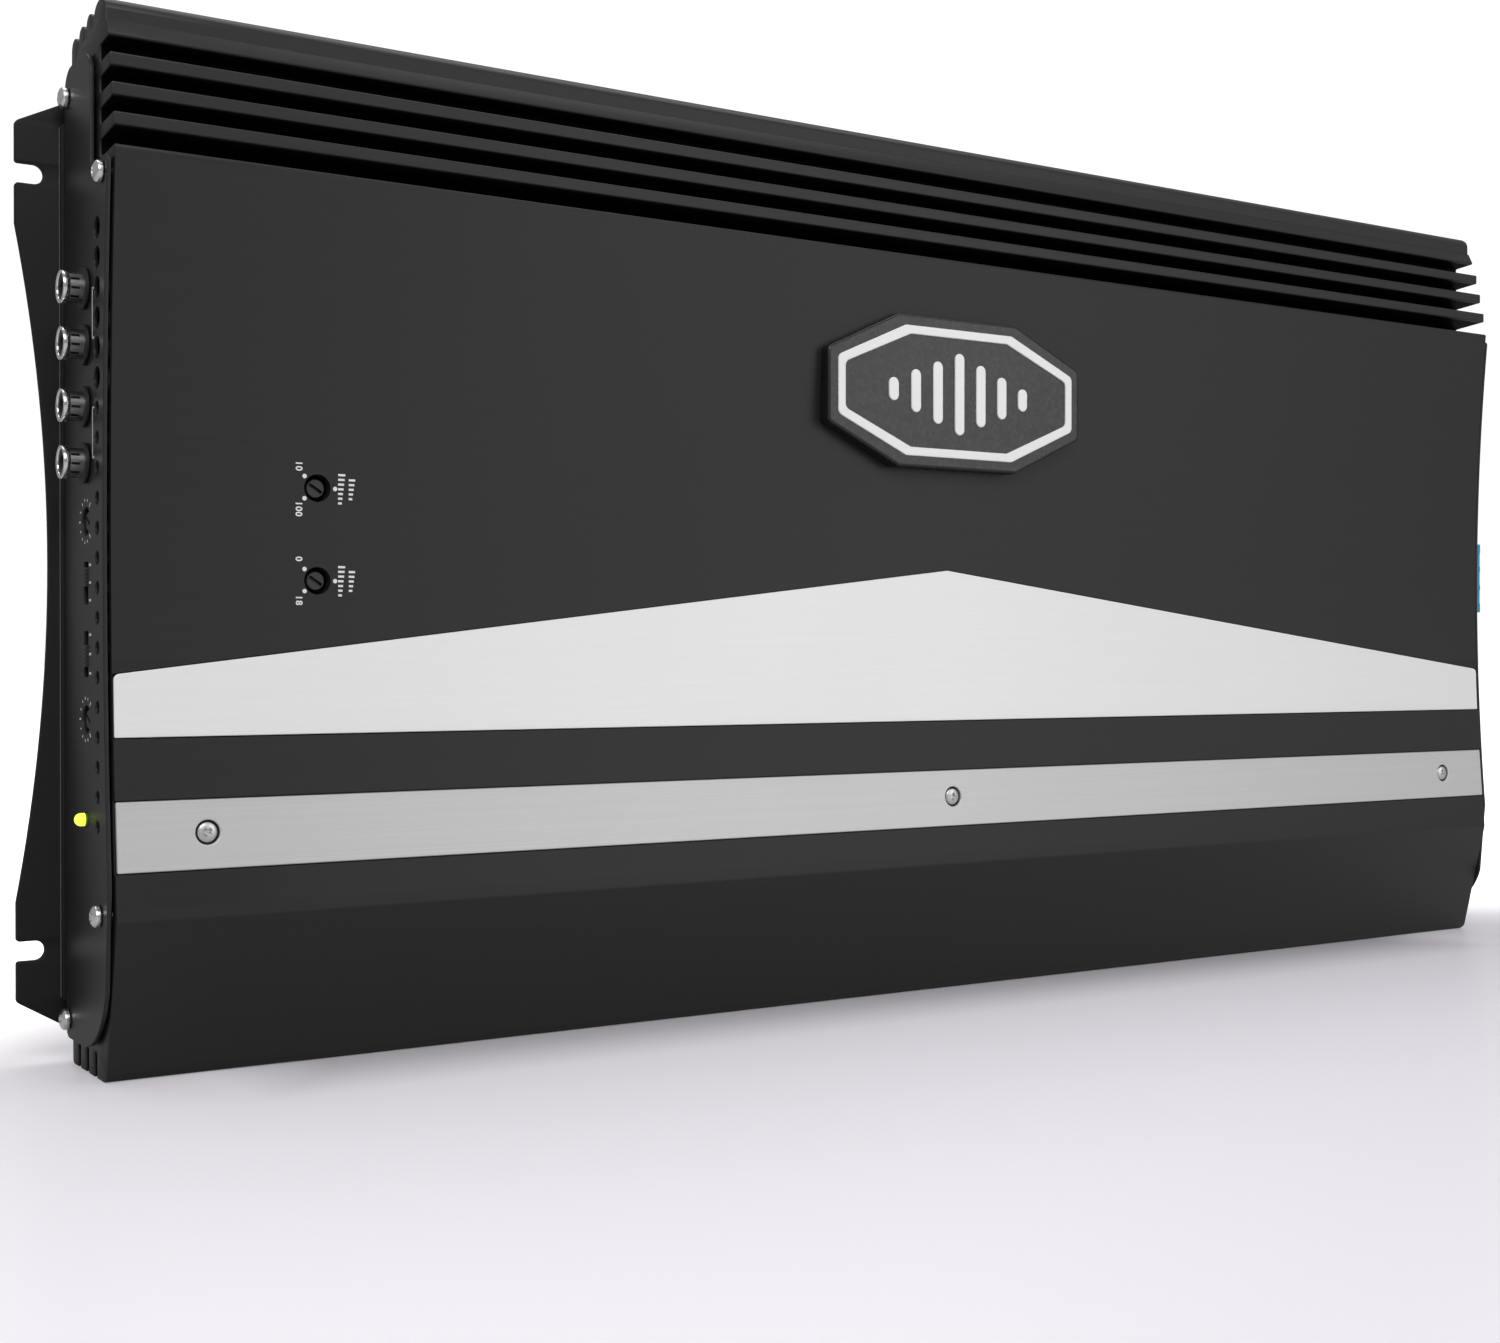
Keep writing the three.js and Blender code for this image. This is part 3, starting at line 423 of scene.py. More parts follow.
def metal_finish(name, colour, roughness, metallic, grain, shade=0.12, bump=0.15, spread=0.06):
    """Metal or paint with a fine directional grain, slow shade changes and uneven gloss."""
    nodes = Nodes(bpy.data.materials.new(name))
    nodes.feed("Metallic", metallic)
    fine = nodes.noise(1.0, 3.0, grain)
    slow = nodes.noise(9.0, 2.0)
    mixed = nodes.blend(nodes.spread(fine, 0.0, 1.0), scaled(colour, 1 - shade), scaled(colour, 1 + shade))
    worn = scaled(colour, 1 + shade * 0.6)
    nodes.feed("Base Color", nodes.blend(nodes.spread(slow, 0.0, 0.35), mixed, worn))
    fine_gloss = nodes.spread(fine, roughness - spread, roughness)
    nodes.feed("Roughness", nodes.math("ADD", fine_gloss, nodes.spread(slow, 0.0, spread)))
    nodes.bump(fine, bump, 0.0002)
    return nodes


def plastic_finish(name, colour, roughness, grain=2600.0, bump=0.12, shade=0.1):
    """Moulded plastic with a fine spark-eroded texture."""
    nodes = Nodes(bpy.data.materials.new(name))
    fine = nodes.noise(grain, 2.0)
    tone = nodes.spread(nodes.noise(25.0, 2.0), 0.0, 1.0)
    nodes.feed("Base Color", nodes.blend(tone, scaled(colour, 1 - shade), scaled(colour, 1 + shade, 0.002)))
    nodes.feed("Roughness", nodes.spread(fine, roughness - 0.05, roughness + 0.06))
    nodes.bump(fine, bump, 0.0001)
    return nodes


ALONG_GRAIN = (6, 2600, 2600)
BRUSHED_GRAIN = (4, 3000, 3000)
SATIN_GRAIN = (30, 2600, 2600)
FINE_GRAIN = (1800, 1800, 1800)
WIRE_GRAIN = (500, 500, 500)
DIM = 0.32  # specular level of the black paints


def make_materials():
    """Metals: colour, roughness, metallic, grain, shade, bump, spread; plastics end grain, bump, shade."""
    metal, plastic = metal_finish, plastic_finish
    finishes = {
        "case": make_case_material(),
        "panel": metal("painted_black", (0.018, 0.018, 0.019), 0.4, 0.0, FINE_GRAIN, 0.1, 0.1, 0.04),
        "plate": metal("powder_black", (0.01, 0.01, 0.0104), 0.55, 0.0, FINE_GRAIN, 0.12, 0.12, 0.04),
        # lip: lighter grey on the base plate's lip, standing in for the highlight along its rolled edge:
        # painted highlight.
        "lip": metal("painted_edge_highlight", (0.26, 0.26, 0.262), 0.4, 0.4, FINE_GRAIN, 0.15, 0.1, 0.05),
        "silver": metal("satin_silver", (0.82, 0.82, 0.825), 0.45, 0.3, SATIN_GRAIN, 0.02, 0.03),
        "strip": metal("brushed_silver", (0.56, 0.56, 0.565), 0.42, 0.4, BRUSHED_GRAIN, 0.05, 0.08),
        "bright": metal("bright_plate", (0.8, 0.8, 0.81), 0.16, 1.0, FINE_GRAIN, 0.03, 0.05, 0.05),
        "screw": metal("zinc_plate", (0.82, 0.82, 0.825), 0.26, 1.0, FINE_GRAIN, 0.05, 0.06),
        # nickel: dark grey on the jack barrels and contacts, standing in for the dark surroundings reflected
        # in the chrome and the shade in the jacks' mouths: painted reflection and shade.
        "nickel": metal("chrome_dark_reflection", (0.3, 0.3, 0.305), 0.32, 1.0, FINE_GRAIN, 0.08, 0.08),
        "satin": metal("satin_nickel", (0.6, 0.6, 0.605), 0.36, 0.8, FINE_GRAIN, 0.05, 0.08, 0.05),
        "black": plastic("black_plastic", (0.008, 0.008, 0.0085), 0.55),
        "dial": plastic("dial_plastic", (0.02, 0.02, 0.021), 0.45),
        "badge": plastic("badge_black", (0.01, 0.01, 0.011), 0.3, 900.0, 0.04),
        "white": plastic("badge_white", (0.85, 0.85, 0.85), 0.35, 900.0, 0.03, 0.02),
        "ink": plastic("white_ink", (0.75, 0.75, 0.74), 0.55, 4000.0, 0.1, 0.04),
        "board": plastic("solder_mask", (0.02, 0.13, 0.06), 0.4, 700.0, 0.2, 0.25),
        "sleeve": plastic("shrink_sleeve", (0.02, 0.03, 0.08), 0.3, 600.0, 0.05, 0.15),
        "fibre": plastic("pressed_fibre", (0.42, 0.4, 0.36), 0.8, 1500.0, 0.3, 0.12),
        "copper": metal("copper_wire", (0.6, 0.26, 0.1), 0.3, 0.9, WIRE_GRAIN, 0.25, 0.5),
        "brass": metal("contact_brass", (0.5, 0.34, 0.14), 0.3, 1.0, FINE_GRAIN, 0.05, 0.05),
        "fuse": make_fuse_material(),
        "lamp": make_lamp_material(),
        "lens": plastic("unlit_lens", (0.1, 0.16, 0.03), 0.25, 300.0, 0.02),
    }
    finishes["panel"].feed("Specular IOR Level", DIM)
    finishes["plate"].feed("Specular IOR Level", DIM * 0.7)
    materials.update({key: nodes.owner for key, nodes in finishes.items()})


def make_case_material():
    """Black anodising with a grain along the extrusion; its slots and grooves are darkened to near-black with
    no gloss: painted shade.
    """
    nodes = metal_finish("anodised_black", (0.02, 0.02, 0.0208), 0.42, 0.2, ALONG_GRAIN, 0.08, 0.06, 0.03)
    along, depth, height = nodes.axes()

    def band(value, low, high, soft=0.1):
        """1 between two places in millimetres, 0 outside."""
        rise = nodes.spread(value, 0.0, 1.0, low * MM, (low + soft) * MM)
        fall = nodes.spread(value, 1.0, 0.0, (high - soft) * MM, high * MM)
        return nodes.math("MULTIPLY", rise, fall)

    def add_groove_shade(deep, extent, at, half):
        groove = band(depth, DEPTH_ZERO + at - half, DEPTH_ZERO + at + half)
        return nodes.math("MAXIMUM", deep, nodes.math("MULTIPLY", extent, groove))

    # Painted shade: behind the fin noses and in the foot and top grooves the colour falls off to black, where
    # shade falls; the end faces are left out.
    slope = FIN_STEP / FIN_PITCH
    nose = nodes.math("MULTIPLY_ADD", height, slope, (FIN_SETBACK - slope * FIN_FIRST + DEPTH_ZERO) * MM)
    into = nodes.spread(nodes.math("SUBTRACT", depth, nose), 0.0, 1.0, 0.3 * MM, 1.8 * MM)
    deep = nodes.math("MULTIPLY", into, band(height, FACE_HIGH, FIN_FIRST + FIN_PITCH * FIN_COUNT - 1.2, 0.3))
    foot = band(height, 0.4 - FOOT_DROP, FOOT_GROOVE_TOP + 0.2)
    top = band(height, HEIGHT - 12, HEIGHT - 2)
    for i, at in enumerate(FOOT_GROOVES):
        deep = add_groove_shade(deep, foot, at, FOOT_GROOVE / 2 + 0.1)
        deep = add_groove_shade(deep, top, CASE_DEPTH - LOBE_PITCH * (LOBE_COUNT - 1 - i), GROOVE / 2 + 0.2)
    deep = nodes.math("MULTIPLY", deep, band(along, 0.3 - END, END - 0.3, 0.2))
    plain = nodes.shader.inputs["Base Color"].links[0].from_socket
    # Painted shade: near-black colour and no specular where the mask is full.
    nodes.feed("Base Color", nodes.blend(deep, plain, (0.005, 0.005, 0.005)))
    nodes.feed("Specular IOR Level", nodes.spread(deep, DIM, 0.0, 0.0, 1.0))
    return nodes


def make_fuse_material():
    nodes = plastic_finish("clear_blue", (0.05, 0.36, 0.58), 0.2, 300.0, 0.03)
    nodes.feed("Transmission Weight", 0.25)
    nodes.feed("IOR", 1.49)
    return nodes


def make_lamp_material():
    nodes = plastic_finish("lit_lens", (0.6, 0.85, 0.05), 0.18, 300.0, 0.02)
    grain = nodes.spread(nodes.noise(400.0, 4.0), 0.0, 1.0)
    nodes.feed("Emission Color", nodes.blend(grain, (0.6, 0.9, 0.02), (0.75, 1.0, 0.1)))
    nodes.feed("Emission Strength", nodes.math("MULTIPLY", nodes.camera_ray(), 1.5))
    return nodes


# ---- The hollow front face ----
FACE_LOW = 38.2
FACE_HIGH = 223.3
FACE_SAG = 4.6
WALL = 3.4


def face_depth(z):
    half = (FACE_HIGH - FACE_LOW) / 2
    return FACE_SAG * (1 - ((z - FACE_LOW - half) / half) ** 2)


def face_line(z0, z1, steps, behind=0.0):
    heights = [z0 + (z1 - z0) * k / steps for k in range(steps + 1)]
    return [(face_depth(z) + behind, z) for z in heights]


# ---- Extruded case ----
FIN_COUNT = 3
FIN_PITCH = 7.45
FIN_FIRST = 229.6
FIN_HALF = 1.6
FIN_SETBACK = 1.1
FIN_STEP = 1.6
ROOT_DEPTH = 13.5
FLANK_UP = -0.06
FLANK_DOWN = 0.1
LOBE_COUNT = 4
LOBE_PITCH = 6.9
LOBE_DROP = 1.25
GROOVE = 1.3
GROOVE_DEEP = 5.0
CROWN_HIGH = 3.4
FOOT_GROOVES = (33.6, 26.1, 18.6)
FOOT_GROOVE = 2.2
FOOT_GROOVE_TOP = 5.0
CHAMFER_BACK = 9.2
CAVITY_LOW = 14.0
CAVITY_HIGH = 238.0
FIN_WALL_DEPTH = 18.5
FIN_WALL_LOW = 219.5
STRIP_POCKET = (49.6, 67.3)
STRIP_DEEP = 1.2
BAND_HIGH = 81.9
BAND_PROUD = 0.7
END_CHAMFER = 0.25
DIAL_HOLE = 3.5


def foot_line():
    low = -FOOT_DROP
    points = [(CASE_DEPTH, low, 1.4)]
    for at in FOOT_GROOVES:
        for side, heights in ((1, (low, FOOT_GROOVE_TOP)), (-1, (FOOT_GROOVE_TOP, low))):
            points += [(at + side * FOOT_GROOVE / 2, z, 0.3 if z == low else 1.0) for z in heights]
    points += [(9.4, low, 3.0), (0.1, FACE_LOW, 3.0)]
    return points


def front_line():
    """Front face from the chamfer up: strip groove, proud band, plain face."""
    low, high = STRIP_POCKET
    points = face_line(FACE_LOW + 3, low, 5)
    points += face_line(low, high, 6, STRIP_DEEP)
    points += face_line(high, BAND_HIGH, 5, -BAND_PROUD)
    points += face_line(BAND_HIGH, FACE_HIGH - 1.5, 44)
    points.append((0, FACE_HIGH, 0.9))
    return points


def fin_line(index):
    nose = FIN_SETBACK + FIN_STEP * index
    z = FIN_FIRST + FIN_PITCH * index
    deep = ROOT_DEPTH - nose
    return [
        (ROOT_DEPTH, z - FIN_HALF - FLANK_DOWN * deep, 0.6),
        (nose, z - FIN_HALF, 0.4),
        (nose, z + FIN_HALF, 0.4),
        (ROOT_DEPTH, z + FIN_HALF + FLANK_UP * deep, 0.6),
    ]


def top_line():
    """The front ridge with its slanted flank and round crown, then the smaller ridges behind it."""
    tip = FIN_SETBACK + FIN_STEP * FIN_COUNT
    tip_z = FIN_FIRST + FIN_PITCH * FIN_COUNT - 1.4
    half = (LOBE_PITCH - GROOVE) / 2
    first = CASE_DEPTH - LOBE_PITCH * (LOBE_COUNT - 1)
    crown = tip + 2.5
    wide = (first - GROOVE / 2 - crown) / 2
    points = [
        (ROOT_DEPTH, tip_z - FLANK_DOWN * (ROOT_DEPTH - tip), 0.6),
        (tip, tip_z, 0.6),
        (tip + 1.9, tip_z + 3.9, 0.4),
        (tip + 2.4, tip_z + 4.1, 0.3),
    ]
    points += [(crown + wide * (1 + u), HEIGHT + CROWN_HIGH * (v - 1)) for u, v in arc(0, 0, 1, 180, 0, 20)]
    for i in range(LOBE_COUNT - 1):
        at = first + LOBE_PITCH * i
        top = HEIGHT - LOBE_DROP * (i + 1)
        floor = top + LOBE_DROP - GROOVE_DEEP
        points += [(at - GROOVE / 2, floor, 0.5), (at + GROOVE / 2, floor, 0.5)]
        points += arc(at + GROOVE / 2 + half, top - half, half, 180, 0, 12)
    return points


def cavity_line():
    points = [(CASE_DEPTH, CAVITY_HIGH, 0.3), (FIN_WALL_DEPTH, CAVITY_HIGH, 1.0)]
    points.append((FIN_WALL_DEPTH, FIN_WALL_LOW, 1.0))
    points += face_line(FIN_WALL_LOW - 5, FACE_LOW + 3, 10, WALL)
    points += [(CHAMFER_BACK + WALL, CAVITY_LOW, 2.0), (CASE_DEPTH, CAVITY_LOW, 0.3)]
    return points


def make_case():
    outline = foot_line() + front_line()
    outline.append((ROOT_DEPTH, FACE_HIGH + FLANK_UP * ROOT_DEPTH, 0.6))
    for index in range(FIN_COUNT):
        outline += fin_line(index)
    outline += top_line() + cavity_line()
    case = slab("case_extrusion", rounded(outline, 5), -END, END, along_x, edge=END_CHAMFER, steps=2)
    dial_x = middle("bass_pot_shaft").x
    split_across(case.data, (1, 0, 0), [dial_x - 8, dial_x - 5, dial_x + 5, dial_x + 8])
    behind = depth_of(box_mm("chevron_panel")[1].y) + 0.2
    cutters = [slab("cut", chevron_outline(0.25), -3, behind, along_depth, edge=0)]
    for node in ("subsonic_pot_shaft", "bass_pot_shaft"):
        centre = middle(node)
        cutters.append(slab("cut", circle(centre.x, centre.z, DIAL_HOLE, 48), -3, 12, along_depth, edge=0))
    carve(case, cutters)
    flatten_front(case.data, 1e-4)
    settle(case, "case", replaces=["heatsink_case"])


# ---- Silver inlays and badge ----
def chevron_outline(margin):
    low, high = box_mm("chevron_panel")
    edge = 97.4 + margin
    return [
        (low.x - margin, low.z - margin),
        (high.x + margin, low.z - margin),
        (high.x + margin, edge),
        (0, high.z + margin),
        (low.x - margin, edge),
    ]


def bend(mesh):
    """Bends a flat plate to the hollow face."""
    for vertex in mesh.vertices:
        vertex.co.y += face_depth(vertex.co.z / MM) * MM


def skin(name, outline, front, back, rows, edge=0.18):
    """A thin plate cut to an (x, z) outline and bent to the hollow face: offsets are from the face."""
    plate = slab(name, outline, front, back, along_depth, edge=edge, steps=2)
    split_across(plate.data, (0, 0, 1), rows)
    bend(plate.data)
    soften(plate.data)
    flatten_front(plate.data, 1e-6)
    return plate


def rows_between(low, high, step):
    count = max(1, round((high - low) / step))
    return [low + (high - low) * k / count for k in range(1, count)]


def make_inlays():
    low, high = box_mm("chevron_panel")
    outline = rounded([(u, v, 1.6 if abs(u) > 1 and v > 90 else 0.4) for u, v in chevron_outline(0)], 5)
    chevron = skin("chevron_inlay", outline, -0.05, 0.9, rows_between(low.z, high.z, 1.5))
    settle(chevron, "silver", replaces=["chevron_panel"])
    low, high = box_mm("trim_strip")
    centres = [middle(f"strip_screw_{i}") for i in (1, 2, 3)]
    holes = [circle(c.x, c.z, 3.05, 48) for c in centres]
    plate = rectangle(low.x, high.x, low.z, high.z, 0.4)
    strip = slab("strip_inlay", plate, -0.2, 0.9, along_depth, holes=holes, edge=0.3)
    bend(strip.data)
    settle(strip, "strip", replaces=["trim_strip"])


def badge_outline(margin):
    """The badge's eight-sided outline, moved inwards by margin."""
    low, high = box_mm("badge_plate")
    centre = (low + high) / 2
    half_x, half_z = (high.x - low.x) / 2 - margin, (high.z - low.z) / 2 - margin
    cut_x, cut_z = 26 - margin * 0.3, 12 - margin * 0.3
    corners = []
    for x, z in ((-1, -1), (1, -1), (1, 1), (-1, 1)):
        pair = [(x * half_x, z * (half_z - cut_z)), (x * (half_x - cut_x), z * half_z)]
        corners += pair if x == z else pair[::-1]
    return rounded([(centre.x + u, centre.z + v, BADGE_CORNER) for u, v in corners])


BADGE_CORNER = 2.0
BADGE_BARS = (7, 13, 19, 25, 19, 13, 7)  # heights of the bars, left to right
BAR_PITCH = 8.4


def make_badge():
    front = depth_of(box_mm("badge_plate")[0].y)
    plate = slab("badge_base", badge_outline(0), front, front + 5.2, along_depth, edge=0.9, steps=4)
    settle(plate, "badge", replaces=["badge_plate"])
    depths = (front - 0.5, front + 1)
    rim = slab("badge_frame", badge_outline(3.4), *depths, along_depth, holes=[badge_outline(6.0)], edge=0.25)
    settle(rim, "white", replaces=["badge_inlay"])
    centre = middle("badge_plate")
    for i, tall in enumerate(BADGE_BARS):
        outline = pill(centre.x + (i - 3) * BAR_PITCH, centre.z, 3.6, tall)
        bar = slab(f"badge_bar_{i + 1}", outline, *depths, along_depth, edge=0.25)
        settle(bar, "white")


# ---- Screws ----
def recess_cutter(top, arm, wide, deep):
    """Tapered cross that cuts a screw's recess from height top downwards."""
    pieces = []
    for turn in (0, math.pi / 2):
        vertices = []
        for height, scale in ((top + 0.6, 1.25), (top - deep, 0.35)):
            for x, y in rectangle(-arm, arm, -wide, wide):
                corner = Vector((x * scale, y * (0.4 + 0.6 * scale), height)) * MM
                corner.rotate(Euler((0, 0, turn)))
                vertices.append(corner)
        faces = [(0, 1, 2, 3), (4, 5, 6, 7), (0, 1, 5, 4), (1, 2, 6, 5), (2, 3, 7, 6), (3, 0, 4, 7)]
        pieces.append(make_object("cut", vertices, faces))
    return pieces


PAN_HIGH = 2.1


def screw_mesh(head_radius, head_high, shank_radius, shank_long, arm=0.5, wide=0.16):
    """A domed screw with its head's underside at height 0; arm and wide scale its cross recess."""
    angles = [math.pi / 2 * k / 8 for k in range(8)]
    dome = [(head_radius * math.cos(a), head_high * (0.42 + 0.58 * math.sin(a))) for a in angles]
    profile = [(0, -shank_long), (shank_radius * 0.7, -shank_long)]
    thread = 0.0
    while thread < shank_long - 1.2:
        start = thread - shank_long
        profile += [(shank_radius, start + 0.4), (shank_radius * 0.8, start + 0.65)]
        thread += 0.5
    profile += [(shank_radius, -0.3), (shank_radius, 0), (head_radius - 0.15, 0), (head_radius, 0.15)]
    profile += dome + [(0, head_high)]
    screw = turned("screw", profile, 40)
    carve(screw, recess_cutter(head_high, head_radius * arm, head_radius * wide, head_high * 0.75), sharp=30)
    mesh = screw.data
    bpy.data.objects.remove(screw)
    return mesh


def place_screw(name, mesh, direction, seat_mm, spin, key, replaces=()):
    screw = add_object(name, mesh.copy())
    screw.matrix_world = facing(direction, seat_mm) @ Matrix.Rotation(math.radians(spin), 4, "Z")
    settle(screw, key, replaces=replaces)


def make_screws():
    pan = screw_mesh(2.7, PAN_HIGH, 1.4, 9)
    for side, direction in (("control", LEFT), ("terminal", RIGHT)):
        for i in range(1, 5):
            node = f"{side}_panel_screw_{i}"
            low, high = box_mm(node)
            seat = middle(node)
            seat.x = low.x + PAN_HIGH if side == "control" else high.x - PAN_HIGH
            place_screw(f"{side}_end_screw_{i}", pan, direction, seat, 20 + 37 * i, "screw", [node])
    small = screw_mesh(2.5, 1.1, 1.2, 4, 0.62, 0.2)
    for i in range(1, 4):
        node = f"strip_screw_{i}"
        seat = middle(node)
        seat.y = box_mm(node)[0].y + 1.1
        place_screw(f"strip_face_screw_{i}", small, FRONT, seat, 10 + 35 * i, "satin", [node])


# ---- End panels ----
PANEL_INSET = 0.4
PANEL_STEP = 15.5
PANEL_TOP = 249.4
PANEL_BACK = 39.5
PANEL_FOOT = 5.5


def panel_outline():
    top = FACE_HIGH - 2.5
    corners = [
        (PANEL_INSET + 0.2, top, 3.0),
        (PANEL_STEP, top, 1.5),
        (PANEL_STEP, PANEL_TOP, 6.0),
        (PANEL_BACK, PANEL_TOP, 6.0),
        (PANEL_BACK, PANEL_FOOT, 3.0),
    ]
    foot = arc(PANEL_INSET + 24, PANEL_FOOT + 22, 22, 270, 196, 16)
    return rounded(face_line(FACE_LOW + 8, top - 3, 24, PANEL_INSET) + corners + foot, 6)


def end_screw_holes(side):
    centres = [middle(f"{side}_panel_screw_{i}") for i in range(1, 5)]
    return [circle(depth_of(c.y), c.z, 1.9, 24) for c in centres]


VENT_COUNT = 21
VENT_LOW = 60.5
VENT_PITCH = 7.22
VENT_DEPTH = 10.0
VENT_RADIUS = 1.65
BIG_VENT_RADIUS = 2.7
BIG_VENT_COUNT = 6
CONTROL_DEPTH = depth_of(middle("rca_sleeve_1").y)
DIALS = ("gain", "crossover")
LAMP_RADIUS = 1.6
LAMP_LIT = 2.4
SWITCH_WINDOWS = {"filter_switch": (114.5, 124.9), "mode_switch": (96.7, 107.9)}


def make_end_panel(side, holes):
    node = f"{side}_panel"
    low, high = box_mm(node)
    holes += end_screw_holes(side)
    panel = slab(f"{side}_end_panel", panel_outline(), low.x, high.x, along_x, holes=holes, edge=0.25)
    settle(panel, "panel", replaces=[node])


def make_control_panel():
    holes = []
    for i in range(VENT_COUNT):
        radius = VENT_RADIUS if i < VENT_COUNT - BIG_VENT_COUNT else BIG_VENT_RADIUS
        holes.append(circle(VENT_DEPTH, VENT_LOW + VENT_PITCH * i, radius))
    for i in range(1, 5):
        holes.append(circle(CONTROL_DEPTH, middle(f"rca_sleeve_{i}").z, 3.4))
    for dial in DIALS:
        holes.append(circle(CONTROL_DEPTH, middle(f"{dial}_pot_shaft").z, DIAL_HOLE, 48))
    for z0, z1 in SWITCH_WINDOWS.values():
        holes.append(rectangle(CONTROL_DEPTH - 1.9, CONTROL_DEPTH + 1.9, z0, z1, 0.4))
    holes.append(circle(CONTROL_DEPTH, middle("power_led").z, LAMP_RADIUS + 0.25, 24))
    make_end_panel("control", holes)


def make_terminal_panel():
    holes = []
    for node in ("power_terminal_block", "speaker_terminal_block", "fuse_holder"):
        low, high = box_mm(node)
        holes.append(rectangle(depth_of(low.y) - 0.5, depth_of(high.y) + 0.5, low.z - 0.5, high.z + 0.5, 0.6))
    for i in range(6):
        holes.append(pill(14 + 4 * i, 34, 2.4, 14))
        holes.append(pill(20 + 3.4 * i, 230, 2, 12))
    make_end_panel("terminal", holes)


# ---- Base plate ----
FLANGE_REACH = 13.0
FLANGE_WAIST = 5.0
FLANGE_HOLLOW = (39.7, 210.8)
FLANGE_ENDS = (14.5, 236.4)
FLANGE_SLOTS = (27.3, 223.5)
SLOT_WIDTH = 5.0
SLOT_DEEP = 7.0
LIP_REACH = END + 2.4
LIP_WIDE = 8.0
LIP_DARK = 1.8
PLATE_THICK = 2.0


def flange_slot(z):
    half = SLOT_WIDTH / 2
    tip = END + FLANGE_REACH
    bottom = arc(tip - SLOT_DEEP + half, z, half, 270, 90, 12)
    return [(tip, z - half, 0.8)] + bottom + [(tip, z + half, 0.8)]


def plate_outline():
    low, high = box_mm("base_plate")
    tip = END + FLANGE_REACH
    z0, z1 = FLANGE_HOLLOW
    half = (z1 - z0) / 2
    edge = [(END - 1, low.z, 1.0), (tip, FLANGE_ENDS[0], 1.5)] + flange_slot(FLANGE_SLOTS[0])
    for k in range(33):
        z = z0 + (z1 - z0) * k / 32
        edge.append((tip - (FLANGE_REACH - FLANGE_WAIST) * (1 - ((z - z0 - half) / half) ** 2), z))
    edge += flange_slot(FLANGE_SLOTS[1]) + [(tip, FLANGE_ENDS[1], 1.5), (END - 1, high.z, 1.0)]
    mirrored = [(-p[0], *p[1:]) for p in reversed(edge)]
    return rounded(edge + mirrored, 5)


PLATE_SCREWS = [(x, z) for x in (-238.0, -80.0, 80.0, 238.0) for z in (9.4, 240.4)]
PLATE_BEADS = (70.0, 180.0)


def lip_outline(low, high):
    """The case-side lip: it steps outwards beside the end panels, between the flanges' ends."""
    z0, z1 = FLANGE_ENDS
    points = [(END - 1, low.z, 1), (END - 1, z0, 0), (LIP_REACH, z0, 1)]
    points += [(LIP_REACH, z1, 1), (END - 1, z1, 0), (END - 1, high.z, 1)]
    return rounded(points + [(-u, v, radius) for u, v, radius in reversed(points)], 5)


def make_base_plate():
    low, high = box_mm("base_plate")
    front, back = depth_of(low.y), depth_of(high.y)
    holes = [circle(x, z, 1.7, 24) for x, z in PLATE_SCREWS]
    outline = plate_outline()
    plate = slab("mounting_plate", outline, back - PLATE_THICK, back, along_depth, holes=holes, edge=0.3)
    cutters = []
    for z in PLATE_BEADS:
        outline = [(v, u) for u, v in pill(z, 0, 9, 420, 10)]
        cutters.append(slab("cut", outline, back - 0.7, back + 1, along_depth, edge=0))
    for x, z in PLATE_SCREWS:
        sink = turned("cut", [(0, -1.5), (1.6, -1.5), (3.2, 0.1), (3.2, 1), (0, 1)], 32)
        sink.matrix_world = facing(BACK, (x, high.y, z))
        cutters.append(sink)
    carve(plate, cutters)
    settle(plate, "plate", replaces=["base_plate"])
    inner = rectangle(-END + 2, END - 2, low.z + LIP_WIDE, high.z - LIP_WIDE, 1.0)
    dark, end = front + LIP_DARK, back - PLATE_THICK + 0.05
    rim = lip_outline(low, high)
    # Nearest the front face the lip is plate black; behind that it takes the lighter lip material, a painted
    # highlight along the rolled edge.
    rows = (("plate_rim", front, dark, 0.3, "plate"), ("plate_lip", dark, end, 0.6, "lip"))
    for name, w0, w1, edge, key in rows:
        settle(slab(name, rim, w0, w1, along_depth, holes=[inner], edge=edge), key)
    sunk = turned("sunk", [(0, -3.5), (1.4, -3.5), (1.5, -1.6), (3.0, -0.12), (3.0, 0.0), (0, 0)], 40)
    carve(sunk, recess_cutter(0, 1.7, 0.45, 1.2), sharp=30)
    for i, (x, z) in enumerate(PLATE_SCREWS):
        place_screw(f"plate_screw_{i + 1}", sunk.data, BACK, (x, high.y - 0.15, z), 25 * i, "bright")
    bpy.data.objects.remove(sunk)


# ---- Jacks ----
def jack_barrel(out):
    """Barrel of a phono jack with short slots cut behind its rim."""
    barrel = turned("barrel", [(3.15, 0), (3.65, 0), (3.65, out - 1.75), (3.15, out - 1.75)], 64, closed=True)
    slots = []
    for k in range(10):
        slot = block("cut", (2, -0.3, out - 4.0), (5, 0.3, out - 1.9), edge=0)
        slot.matrix_world = Matrix.Rotation(math.radians(36 * k + 10), 4, "Z")
        slots.append(slot)
    return carve(barrel, slots)


